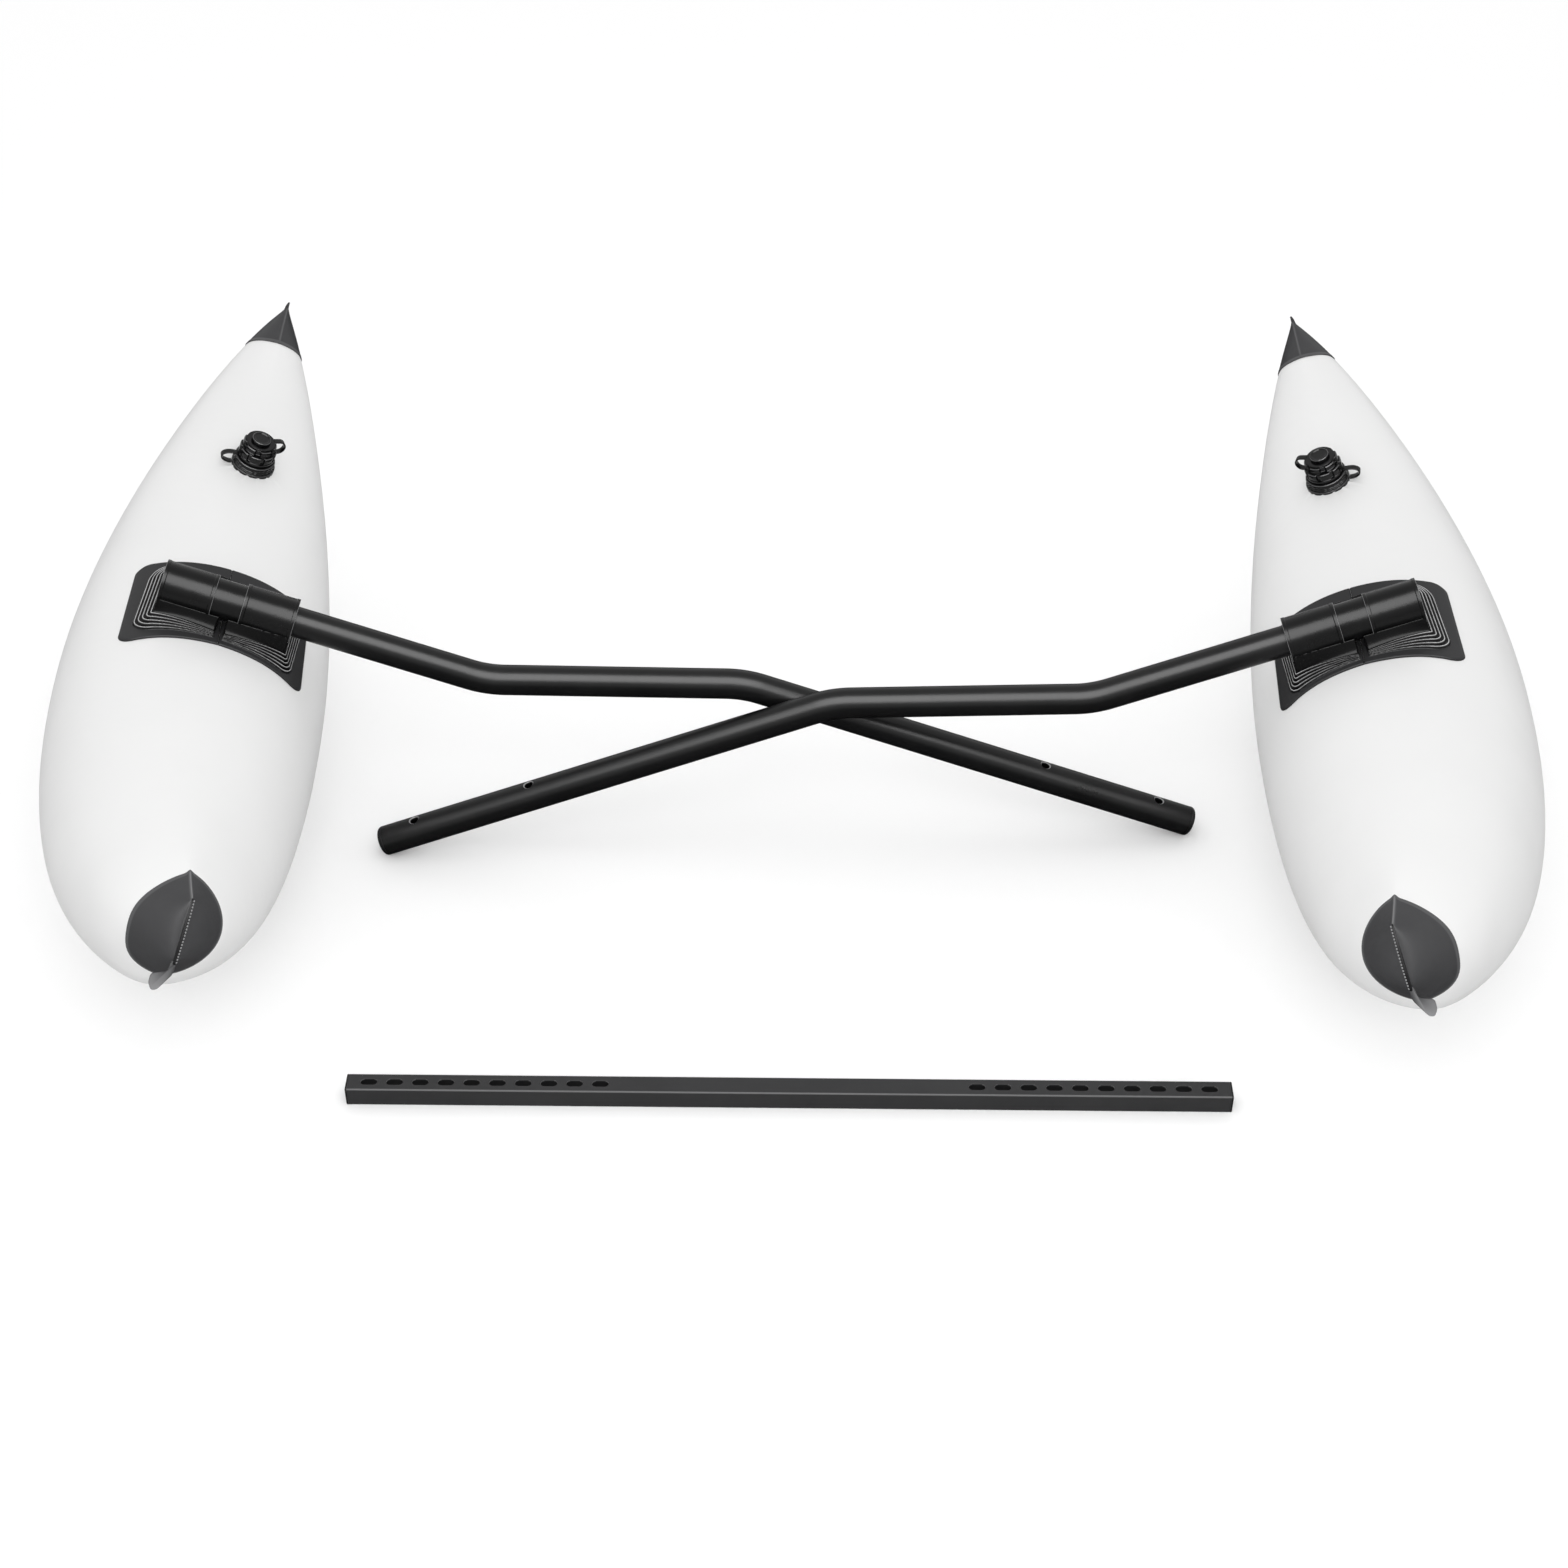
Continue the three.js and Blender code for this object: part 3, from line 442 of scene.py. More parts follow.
def drilled_tube(line, holes):
    """The tube's outer and inner skins, joined at the ends and down the walls of its drilled holes."""
    count = len(line)
    skins = ((0, tube_radius), (1, tube_radius - tube_wall))
    middles = ((0, 1), (tube_sides // 2, -1))
    points, faces, lip_highlight_faces = [], [], []
    for _, radius in skins:
        for x, z, heading in line:
            for k in range(tube_sides):
                turn = k / tube_sides * 2 * math.pi
                up = radius * math.cos(turn)
                points.append((x - up * math.sin(heading), -radius * math.sin(turn),
                               z + up * math.cos(heading)))

    def at(skin, i, k):
        return (skin * count + i) * tube_sides + k % tube_sides

    drilled = {(i, k % tube_sides) for start in holes for i in range(start, start + 2 * hole_cells)
               for middle, _ in middles for k in range(middle - hole_cells, middle + hole_cells)}
    for skin, _ in skins:
        for i in range(count - 1):
            for k in range(tube_sides):
                if (i, k) not in drilled:
                    faces.append([at(skin, i, k), at(skin, i + 1, k), at(skin, i + 1, k + 1),
                                  at(skin, i, k + 1)])
    for i in (0, count - 1):
        faces += band(*([at(skin, i, k) for k in range(tube_sides)] for skin, _ in skins))

    for start in holes:
        end = start + 2 * hole_cells
        centre, level, _ = line[start + hole_cells]
        for middle, sign in middles:
            low, high = middle - hole_cells, middle + hole_cells
            edge = [(i, low) for i in range(start, end)] + [(end, k) for k in range(low, high)]
            edge += [(i, high) for i in range(end, start, -1)] + [(start, k) for k in range(high, low, -1)]
            walls = []
            for skin, radius in skins:
                corners = loop = [at(skin, i, k) for i, k in edge]
                rim = bolt_hole if skin else bolt_hole + bolt_hole_lip
                rings = ((0.5, rim, 0), (1, rim, 0), (1, bolt_hole, bolt_hole_lip))
                for share, reach, sink in rings[:2] if skin else rings:
                    following = []
                    for index in corners:
                        x, y = points[index][0] - centre, points[index][1]
                        turn = math.atan2(y, x)
                        x += (reach * math.cos(turn) - x) * share
                        y += (reach * math.sin(turn) - y) * share
                        following.append(len(points))
                        up = math.sqrt(radius ** 2 - y ** 2) - sink
                        points.append((centre + x, y, level + sign * up))
                    if sink:
                        # The faces of the broken rim are marked to be painted paler, as a painted highlight.
                        lip_highlight_faces += range(len(faces), len(faces) + len(edge))
                    faces += band(loop, following)
                    loop = following
                walls.append(loop)
            faces += band(*walls)
    mesh = mesh_of(points, faces)
    return faces_outward(mark(mesh, np.isin(np.arange(len(mesh.polygons)), lip_highlight_faces), domain="FACE"))


def eased(corners, radius, loop=True, steps=4):
    """A section with its corners rounded; an open one keeps its first and last point."""
    corners = [np.array(corner, float) for corner in corners]
    rounded = []
    for i, corner in enumerate(corners):
        if not loop and i in (0, len(corners) - 1):
            rounded.append(corner)
            continue
        sides = (corners[i - 1] - corner, corners[(i + 1) % len(corners)] - corner)
        cut = min(radius, *(0.45 * np.linalg.norm(side) for side in sides))
        first, last = (corner + side / np.linalg.norm(side) * cut for side in sides)
        for t in np.arange(steps + 1) / steps:
            rounded.append((1 - t) ** 2 * first + 2 * t * (1 - t) * corner + t ** 2 * last)
    return rounded


def turned(section, sides=72, ripple=None):
    """A part turned about Z from its section of (radius, height); ripple takes away from the radius."""
    turn = np.arange(sides) / sides * 2 * math.pi
    rings = []
    for radius, height in section:
        reach = radius - (ripple(turn, radius, height) if ripple and radius > 0 else 0) + np.zeros(sides)
        rings.append(np.stack([reach * np.cos(turn), reach * np.sin(turn), np.full(sides, height)], 1))
    return skin_of(rings, pipe=section[0][0] > 0)


def satin_black_coat():
    # The paler colour is a painted highlight on the broken rims of the bolt holes.
    finish, patches, colour = patchy("satin_black_coat", 18, (0.004, 0.004, 0.0042), (0.008, 0.008, 0.0083),
                                     (0.3, 0.3, 0.305))
    scuffs = finish.cloud(220, 5, 0.7) ** 3
    return finish.coat(colour, patches * 0.08 + scuffs * 0.2 + 0.24, 0.19, finish.cloud(1600, 2, 0.5), 0.00003)


tube_coat = satin_black_coat()
stations, hole_stations = tube_line()
bore = tube_radius - tube_wall - plug_gap
plug_face = plug_gap + plug_head
dome = [(share * (tube_radius - plug_rounding), plug_face + plug_crown * (1 - share ** 2))
        for share in np.arange(6) / 5]
dome += [(tube_radius - plug_rounding * (1 - math.sin(angle)),
          plug_face - plug_rounding * (1 - math.cos(angle))) for angle in math.pi / 2 * np.arange(1, 9) / 8]
dome += [(tube_radius, plug_gap), (bore, plug_gap), (bore, 1 - plug_stem), (bore - 1, -plug_stem),
         (bore - plug_wall, -plug_stem), (bore - plug_wall, -1), (0, -1)]
for side in ("left", "right"):
    place = sleeve_place(side)
    fit(f"{side}_arm_tube", drilled_tube(stations, hole_stations), tube_coat, "frame",
        [f"{side}_arm"], place, sharp=28)
    for end, (x, z, _), turn in (("outer", stations[0], -1), ("inner", stations[-1], 1)):
        seat = place @ Matrix.Translation((x, 0, z)) @ Matrix.Rotation(turn * math.pi / 2, 4, "Y")
        fit(f"{side}_arm_{end}_end_plug", turned(dome), plug_plastic, "frame",
            [f"{side}_arm_{end}_plug"], seat)

# Floats. Each hull is a long bladder of white coated fabric, blown up hard. It is cut so that both ends rise
# like a canoe's and close in an upright seam, and the saddle's load presses a shallow dent in its top.
far_half_length = 484
near_half_length = 493
hull_radius = 132.4
far_girth_power = 0.8
near_girth_power = 0.6
far_rise = 167
near_rise = 185
rocker_power = 2.13
far_seam_height = 31
near_seam_height = 26
near_tip_bend = 8
tip_bend_start = 0.84
seam_half_thickness = 2
seam_start = 0.35
seam_power = 1.5
ridge_start = 0.5
ridge_power = 1.5
ridge_softness = 0.45
ridge_crisp_from = 0.86
sleeve_setback = -12
dent_depth = 7.5
dent_spread = math.radians(26)
dent_length = 80
float_lean = math.radians(2.8)
float_toe = math.radians(4.55)
sleeve_height = 150.3
far_cap_start = 0.914
far_hem_wave = 0.008
near_cap_start = 0.944
near_hem_setback = 0.005
near_hem_point = 0.006
near_hem_cut = 0.011
near_hem_tongue = 0.022
under_cap = 0.024
sunk_under_cap = 1.6
sunk_slope = 0.008
valve_share = 0.557
valve_flange = 22.5
socket_well_radius = 18.5
socket_well_slope = 1.3
socket_well_depth = 16
pucker_height = 1.3
pucker_width = 1.5
pucker_wander = 1.4
pucker_turns = [-2.9, -2.62, -2.2, -1.72, -1.2, -0.72, -0.42, 0.1, 0.5, 1.1, 1.9, 2.6]
pucker_lengths = [15, 19, 11, 14, 18, 12, 17, 8, 13, 9, 8, 12]


def by_end(share, far, near):
    return np.where(share > 0, far, near)


def ramp(value, start, end):
    """Rises from 0 at the start to 1 at the end, and stays level beyond both."""
    return np.clip((value - start) / (end - start), 0, 1)


def smooth(share):
    return share ** 2 * (3 - 2 * share)


def swell(value, middle, width):
    """A soft swelling of height 1 round its middle."""
    return np.exp(-((value - middle) / width) ** 2)


def rocker_slope(share):
    rise = by_end(share, far_rise / far_half_length, near_rise / near_half_length)
    return np.arctan(np.sign(share) * rise * rocker_power * np.abs(share) ** (rocker_power - 1))


def half_width(share):
    """Half the hull's width, from the full width in the middle to the flat seam at each tip."""
    girth = by_end(share, far_girth_power, near_girth_power)
    return seam_half_thickness + (hull_radius - seam_half_thickness) * np.maximum(1 - share ** 2, 0) ** girth


def hull_skin(share, angle, offset=0.0):
    """Points of the hull. Share runs from -1 at the near tip to 1 at the far one, and angle from 0 on top
    towards +X."""
    along = np.abs(share)
    reach = share * by_end(share, far_half_length, near_half_length)
    half = half_width(share)
    seam = by_end(share, far_seam_height, near_seam_height) * ramp(along, seam_start, 1) ** seam_power
    sharpness = (ridge_power - 1) * smooth(ramp(along, ridge_start, 1))
    sine = np.sin(angle)
    bend = by_end(share, 0, near_tip_bend) * ramp(along, tip_bend_start, 1) ** 2
    soft = (ridge_softness * (1 - ramp(along, ridge_crisp_from, 1))) ** 2
    pinch = ((sine ** 2 + soft) / (1 + soft)) ** (sharpness / 2)
    slope = rocker_slope(share)
    from_top = np.abs(np.arctan2(sine, np.cos(angle)))
    dent = dent_depth * swell(from_top, 0, dent_spread) * swell(reach, sleeve_setback, dent_length)
    up = (np.hypot(half, seam) + offset - dent) * np.cos(angle)
    rise = by_end(share, far_rise, near_rise) * along ** rocker_power
    return np.stack([(half + offset) * sine * pinch + bend, reach - np.sin(slope) * up,
                     rise + np.cos(slope) * up], -1)


hull_turn = Matrix.Rotation(float_toe, 4, "Z") @ Matrix.Rotation(float_lean, 4, "Y")
hull_in_sleeve = Matrix.Translation(hull_turn @ Vector((0, -sleeve_setback, -sleeve_height))) @ hull_turn


def valve_in_hull():
    ahead, behind = hull_skin(valve_share * np.array([1.001, 0.999]), np.zeros(2))
    tilt = math.atan2(ahead[2] - behind[2], ahead[1] - behind[1])
    seat = Vector(hull_skin(np.array(valve_share), np.array(0.0)))
    return Matrix.Translation(seat) @ Matrix.Rotation(tilt, 4, "X")


def round_valve(points):
    """How far points lie from the valve's axis, in which direction, and how high."""
    seat = np.array(valve_in_hull())
    x, y, z = np.moveaxis((points - seat[:3, 3]) @ seat[:3, :3], -1, 0)
    return np.hypot(x, y), np.arctan2(y, x), z


def cap_edge(share, angle):
    """Where the cap's hem runs: the near one is drawn up to a point, cut in on its outer side and drawn
    out again in a tongue below."""
    point = near_hem_point * swell(angle, 0, 0.14)
    cut_in = near_hem_cut * swell(angle, -0.85, 0.85) - near_hem_tongue * swell(angle, -2.45, 0.42)
    return by_end(share, far_cap_start + far_hem_wave * np.sin(angle) ** 2,
                  near_cap_start - near_hem_setback - point + cut_in)


def spaced(low, high, fine_low, fine_high, coarse, fine):
    """Places between two limits, closer together in one stretch."""
    before = np.linspace(low, fine_low, max(2, round((fine_low - low) / coarse)), endpoint=False)
    within = np.linspace(fine_low, fine_high, max(2, round((fine_high - fine_low) / fine)), endpoint=False)
    after = np.linspace(fine_high, high, max(2, round((high - fine_high) / coarse)))
    return np.concatenate([before, within, after])


def puckers(points, angle):
    """How far the fabric stands up in the small creases round the welded valve."""
    reach, turn, _ = round_valve(points)
    lift = np.zeros(reach.shape)
    for direction, length in zip(pucker_turns, pucker_lengths):
        off = (turn - direction + math.pi) % (2 * math.pi) - math.pi
        bend = off * reach + pucker_wander * np.sin((reach - valve_flange) / length * 2.2)
        fade = np.clip((valve_flange + length - reach) / length, 0, 1) * (reach > valve_flange - 3)
        lift += pucker_height * swell(bend, 0, pucker_width) * fade ** 1.3
    return np.where(np.cos(angle) > 0.5, lift, 0)


def opened_for_valve(points):
    """Sinks the closed skin under the valve's flange, where the real hull has the hole for its socket."""
    reach, _, height = round_valve(points)
    sink = socket_well_depth * np.clip((socket_well_radius - reach) / socket_well_slope, 0, 1)
    sink = sink * (height > -socket_well_depth)
    return points - sink[..., None] * np.array(valve_in_hull())[:3, 2]


def white_coated_fabric():
    finish = Finish("white_coated_fabric")
    patches = finish.cloud(9, 3, 0.55)
    relief = finish.cloud(1500, 1, 0.4) * 0.03 + finish.cloud(26, 2, 0.5)
    white = finish.between(patches, (0.75, 0.75, 0.748), (0.78, 0.78, 0.778))
    return finish.coat(white, patches * 0.14 + 0.36, 0.2, relief, 0.0006)


white_fabric = white_coated_fabric()
shares = spaced(-near_cap_start - under_cap, far_cap_start + under_cap, valve_share - 0.1, valve_share + 0.1,
                0.01, 0.0026)
angles = spaced(-math.pi, math.pi, -0.5, 0.5, 0.052, 0.0125)[:-1]
share_grid, angle_grid = np.meshgrid(shares, angles, indexing="ij")
sunk = sunk_under_cap * np.clip((np.abs(share_grid) - cap_edge(share_grid, angle_grid)) / sunk_slope, 0, 1)
stands = puckers(hull_skin(share_grid, angle_grid, -sunk), angle_grid)
skin = opened_for_valve(hull_skin(share_grid, angle_grid, stands - sunk))
for side in ("left", "right"):
    fit(f"{side}_hull_skin", skin_of(list(skin)), white_fabric, f"{side}_float",
        [f"{side}_hull"], sleeve_place(side) @ hull_in_sleeve, sharp=60)

# End caps. Each tip of the hull is covered by a pointed cap of grey coated fabric, welded on over the white
# with a narrow hem. A flat seam flange runs down the tip. The near one is painted near black, as painted shade
# along its groove, with a toothed weld along its rim and a folded tail of grey fabric below.
cap_lift = 0.7
hem_lift = 0.35
hem_width = 4
hem_shine = 0.2
fin_thickness = 2.6
fin_reach = 8
far_fin_top_tab = 6.5
near_fin_top_tab = 2
fin_bottom_tab = 4
fin_root = 3
fin_taper = 0.75
tail_width = 18
tail_length = 27
tail_offset = 7
ridge_width = 0.9
ridge_lift = 0.9
ridge_shine = {"far": 0.3, "near": 0.7}
tooth_count = 21
tooth_length = 1.4
tooth_depth = 1.6
tooth_rise = 1.1
tooth_out = 3.6
tooth_line_steps = 24


def coated_fabric(name, low, high):
    # The paler colour is painted on the caps' ridge and hem as a highlight, and on the near seam's teeth and
    # tail.
    finish, patches, colour = patchy(name, 30, low, high, (0.3, 0.3, 0.305), 0.7)
    return finish.coat(colour, patches * 0.12 + 0.4, 0.1, finish.cloud(1500, 1, 0.4) * 0.04 + patches, 0.0005)


def sheet(outline, thickness, rounding=0.6):
    """A flat sheet cut to an outline, with both its faces rounded over at the edge."""
    inward = np.mean(outline, axis=0) - outline
    inward = inward / np.maximum(np.linalg.norm(inward, axis=1, keepdims=True), 1e-6)
    layers = ((1, -0.5), (0.2, -0.38), (0, -0.2), (0, 0.2), (0.2, 0.38), (1, 0.5))
    return skin_of([np.insert(outline + inward * inset * rounding, 2, depth * thickness, axis=1)
                    for inset, depth in layers])


def joined(*meshes):
    work = bmesh.new()
    for mesh in meshes:
        work.from_mesh(mesh)
    result = bpy.data.meshes.new("blank")
    work.to_mesh(result)
    work.free()
    return result


grey_fabric = coated_fabric("grey_coated_fabric", (0.042, 0.042, 0.044), (0.056, 0.056, 0.058))
# The near seam flange is painted near black, as painted shade for the shadow along its groove.
shaded_seam_flange = coated_fabric("black_seam_tape", (0.008, 0.008, 0.0085), (0.014, 0.014, 0.0145))
cap_limits = (-math.pi, -math.pi + 0.3, -0.3, 0.3, math.pi - 0.3, math.pi)
cap_angles = np.concatenate([np.linspace(low, high, count, endpoint=False) for low, high, count in zip(
    cap_limits, cap_limits[1:], (14, 30, 28, 30, 14))])

pressing = Rule("teeth_pressed_along_the_seam")
tooth = pressing.node("MeshCube", None, {"Size": pressing.vector(
    X=pressing.size("Tooth depth", tooth_depth), Y=pressing.size("Tooth length", tooth_length),
    Z=pressing.size("Tooth rise", tooth_rise))})
rim_side = pressing.size("Beside the flange", -fin_thickness / 2)
rim_places = {place: pressing.vector(
    X=pressing.size(f"{name} tooth out", out), Y=pressing.size(f"{name} tooth along", along), Z=rim_side)
    for place, name, out, along in (("Start", "Lowest", tooth_out, -near_seam_height),
                                    ("Middle", "Middle", 2 * fin_reach - tooth_out, 0),
                                    ("End", "Highest", tooth_out, near_seam_height))}
rim_line = pressing.node("CurveQuadraticBezier", None, {"Resolution": tooth_line_steps, **rim_places})
tooth_places = pressing.node("ResampleCurve", None, {
    "Curve": rim_line, "Count": pressing.size("Teeth", tooth_count, "Int")})
teeth = pressing.node("InstanceOnPoints", None, {"Points": tooth_places, "Instance": tooth})
teeth_mesh = pressing.apply(bpy.data.meshes.new("blank"), teeth, grey_fabric)
# The teeth are painted paler than the cap's fabric.
mark(teeth_mesh, np.ones(len(teeth_mesh.vertices)))

for far, end in ((1, "far"), (-1, "near")):
    start = cap_edge(far, cap_angles)
    length = float(by_end(far, far_half_length, near_half_length))
    hem = hem_width / length / (1 - start)
    steps = [(0, -0.6), (0, cap_lift * 0.8), (hem * 0.1, cap_lift + hem_lift),
             (hem * 0.7, cap_lift + hem_lift), (hem * 0.9, cap_lift)]
    steps += [(np.maximum(step, hem), cap_lift) for step in np.linspace(0.04, 1, 30) ** 0.9]
    rings, raised = [], []
    for step, lift in steps:
        share = far * (start + (1 - start) * step)
        across = hull_skin(share, cap_angles, lift)[:, 0]
        ridge = swell(across, across[len(cap_angles) // 2], ridge_width)
        ridge = ridge * (np.abs(cap_angles) < 1) * np.clip(step * 8, 0, 1)
        rings.append(hull_skin(share, cap_angles, lift + ridge_lift * ridge))
        # The ridge down the cap and the raised hem are marked to be painted paler, as painted highlights.
        raised.append(np.maximum(ridge_shine[end] * ridge, hem_shine * (lift > cap_lift)))
    cap_points, cap_faces = skin_through(rings)
    seam = float(by_end(far, far_seam_height, near_seam_height))
    top_tab = float(by_end(far, far_fin_top_tab, near_fin_top_tab))
    slope = abs(float(rocker_slope(np.array(far))))
    blade = Matrix(((0, 0, far), (far * math.cos(slope), -far * math.sin(slope), 0),
                    (math.sin(slope), math.cos(slope), 0))).to_4x4()
    blade.translation = Vector((float(by_end(far, 0, near_tip_bend)), far * length,
                                float(by_end(far, far_rise, near_rise))))
    outline = np.array(eased([
        (-fin_root, seam + 1), (0.3, seam + top_tab), (fin_reach / 2, seam + top_tab / 2),
        (fin_reach * 0.95, seam * 0.45), (fin_reach, 0), (fin_reach * 0.95, -seam * 0.45),
        (fin_reach / 2, -seam - fin_bottom_tab / 2), (0.3, -seam - fin_bottom_tab),
        (-fin_root, -seam - 1)], 5, steps=5))
    flange = sheet(outline, fin_thickness)
    for vertex in flange.vertices:
        vertex.co.z *= 1 - fin_taper * float(ramp(vertex.co.y, seam - 2, seam + top_tab))
    if end == "near":
        half = tail_width / 2
        tail = sheet(np.array(eased([(half * out, tail_length * along) for out, along in (
            (0.5, 1 / tail_length), (0.4, -0.32), (-1, -0.5), (-1, -0.8), (-0.6, -1), (-0.1, -0.95),
            (0.9, -0.4), (1, 1 / tail_length))], 2.5)), fin_thickness)
        tail.transform(
            Matrix.Translation((0.3 + fin_thickness / 2, -seam, 0)) @ Matrix.Rotation(math.pi / 2, 4, "Y")
            @ Matrix.Translation((-tail_offset, 0, 0)))
        # The tail is painted paler towards its tip.
        mark(tail, [min(1, max(0, -0.35 - (vertex.co.y + seam) / tail_length) * 1.6)
                    for vertex in tail.vertices])
        tail = joined(tail, teeth_mesh)
    for side in ("left", "right"):
        place = sleeve_place(side) @ hull_in_sleeve
        cap = faces_outward(mark(mesh_of(cap_points, cap_faces), np.concatenate(raised)), point_weld)
        fit(f"{side}_{end}_end_cap", cap, grey_fabric, f"{side}_float", [f"{side}_{end}_cap"],
            place, sharp=40)
        fit(f"{side}_{end}_seam_flange", flange.copy(), shaded_seam_flange if end == "near" else grey_fabric,
            f"{side}_float", [f"{side}_{end}_fin"], place @ blade, sharp=40)
        if end == "near":
            fit(f"{side}_near_seam_tail", tail.copy(), grey_fabric, f"{side}_float",
                [f"{side}_near_fin"], place @ blade, sharp=40)

# Saddles. A saddle of black moulded rubber is glued on the hull in two halves, one under each sleeve. Its
# thin flange lies on the fabric, and from there the rubber climbs to the sleeve in narrow terraces, with a
# groove between the halves.
pad_half_length = 58
pad_reach = 87
pad_setback = 4
pad_corner = 13
pad_near_flare = 3
pad_near_drop = 4
pad_middle_gap = 0.2
pad_top = 2.3
pad_edge_height = 0.9
pad_underside = 0.05
flange_rounding = 1.6
terrace_count = 5
terrace_top = -6
terrace_under_sleeve = 20.6
near_foot_middle = 34.5
near_foot_outer = 40
near_foot_inner = 36
far_foot = 60
band_middle = 5.5
band_end = 15
far_band = 24
height_middle = 3.5
height_end = 11
lip_height = 0.9
lip_place = 0.45
lip_width = 0.16
lip_in_middle = 0.45
wall_sweep = 1.9
outer_end_reach = 16
inner_end_reach = 11
middle_groove = 4
groove_slope = 0.6
riser_start, riser_end = 0.62, 0.92
flange_below = 0.6
rubber_end = {"outer": -1, "inner": 1}


def pad_grid(hand):
    """Plan places of one saddle half in the hull's frame, closer together where its terraces are."""
    rows = spaced(-pad_half_length, pad_half_length, 1 - pad_half_length, -12, 0.9, 0.33)[:, None]
    shares = np.concatenate([[0], spaced(0.002, 1, 0.66, 0.97, 0.011, 0.0035)])[None, :]
    nearness = (pad_half_length - rows) / (2 * pad_half_length)
    flare = pad_near_flare * nearness
    beyond = np.maximum(np.abs(rows) - (pad_half_length - pad_corner), 0)
    reach = pad_reach + flare - pad_corner + np.sqrt(np.maximum(pad_corner ** 2 - beyond ** 2, 0))
    x = pad_middle_gap / 2 + shares * (reach - pad_middle_gap / 2)
    y = np.repeat(rows, shares.shape[1], 1)
    corner_x = x - flare - (pad_reach - pad_corner)
    corner_y = np.abs(y) - (pad_half_length - pad_corner)
    edge = np.where((corner_x > 0) & (corner_y > 0), pad_corner - np.hypot(corner_x, corner_y),
                    pad_reach + flare - x)
    edge = np.minimum(np.minimum(pad_half_length - np.abs(y), x - pad_middle_gap / 2), edge)
    return hand * x, y + pad_setback - pad_near_drop * nearness * shares, np.maximum(edge, 0)


def on_hull(x, y, offset):
    """How high the hull's skin, moved out by offset, lies at plan places near the saddle."""
    share, angle = y / by_end(y, far_half_length, near_half_length), np.zeros(x.shape)
    for _ in range(12):
        angle = np.arcsin(np.clip(x / (half_width(share) + offset), -1, 1))
        share = share + (y - hull_skin(share, angle, offset)[..., 1]) / near_half_length
    return hull_skin(share, angle, offset)[..., 2]


def in_sleeve_frame(x, y, z):
    turn = np.array(hull_in_sleeve)
    return np.stack([x, y, z], -1) @ turn[:3, :3].T + turn[:3, 3]


def terraces(points):
    """How far the rubber climbs above the flange, in the sleeve frame, and how much of a lip each place is.
    Under the sleeve it stops below the liner, which turns there."""
    x, y, z = np.moveaxis(points, -1, 0)
    to_end = np.clip(np.abs(x) / sleeve_end, 0, 1) ** 1.3
    foot_at_end = np.where(x < 0, near_foot_outer, near_foot_inner)
    foot = np.where(y < 0, near_foot_middle + (foot_at_end - near_foot_middle) * to_end, far_foot)
    width = np.where(y < 0, band_middle + (band_end - band_middle) * to_end, far_band)
    height = height_middle + (height_end - height_middle) * to_end
    beside = np.maximum(np.abs(y) - (foot - width), 0) / width
    beyond = np.maximum(np.abs(x) - sleeve_end, 0) / np.where(x < 0, outer_end_reach, inner_end_reach)
    out = np.hypot(beside, beyond)
    step = np.clip(out, 0, 1) * terrace_count
    within = step % 1
    drop = (np.floor(step) + smooth(ramp(within, riser_start, riser_end))) / terrace_count
    lip = swell(within, lip_place, lip_width) * (out < 1) * (out > 0.02)
    shown = (y < 0) * (lip_in_middle + (1 - lip_in_middle) * to_end)
    lip = lip * np.maximum(ramp(np.abs(x), sleeve_end - 4, sleeve_end + 2), shown)
    core = -np.sqrt(np.maximum(terrace_under_sleeve ** 2 - y ** 2, terrace_top ** 2))
    inward = np.clip((foot - width - np.abs(y)) / (foot - width - terrace_under_sleeve), 0, 1)
    wall = np.maximum(core - z - height, 0) * inward ** wall_sweep * np.clip(sleeve_end - np.abs(x), 0, 1)
    groove = np.clip((np.abs(x) - middle_groove) / groove_slope, 0, 1)
    climb = (height * (1 - np.clip(drop, 0, 1)) + lip_height * lip + wall) * groove
    bore = -np.sqrt(np.maximum(terrace_under_sleeve ** 2 - y ** 2, 0))
    beneath = (np.abs(x) < sleeve_end) & (np.abs(y) < terrace_under_sleeve)
    return np.where(beneath, np.minimum(climb, np.maximum(bore - z, 0)), climb), lip * groove


def moulded_rubber():
    finish, patches, black = patchy("moulded_rubber", 40, (0.002, 0.002, 0.0021), (0.004, 0.004, 0.0042))
    # The flange is painted a lighter grey in place of the sheen it catches, and the climbing rubber near
    # black, as painted shade.
    flange = finish.mark("flange")
    flange_lit_walls_shaded = finish.between(flange, black, (0.03, 0.03, 0.031))
    # The terrace lips are painted almost white in patches, as painted highlights.
    lips_painted_highlight = finish.between(finish.mark() ** 2 * (patches + 0.35), flange_lit_walls_shaded, (0.8, 0.8, 0.805))
    return finish.coat(lips_painted_highlight, patches * 0.12 + flange * 0.1 + 0.2, 0.09,
                       finish.cloud(1800, 2, 0.5) * 0.15 + patches, 0.00025)


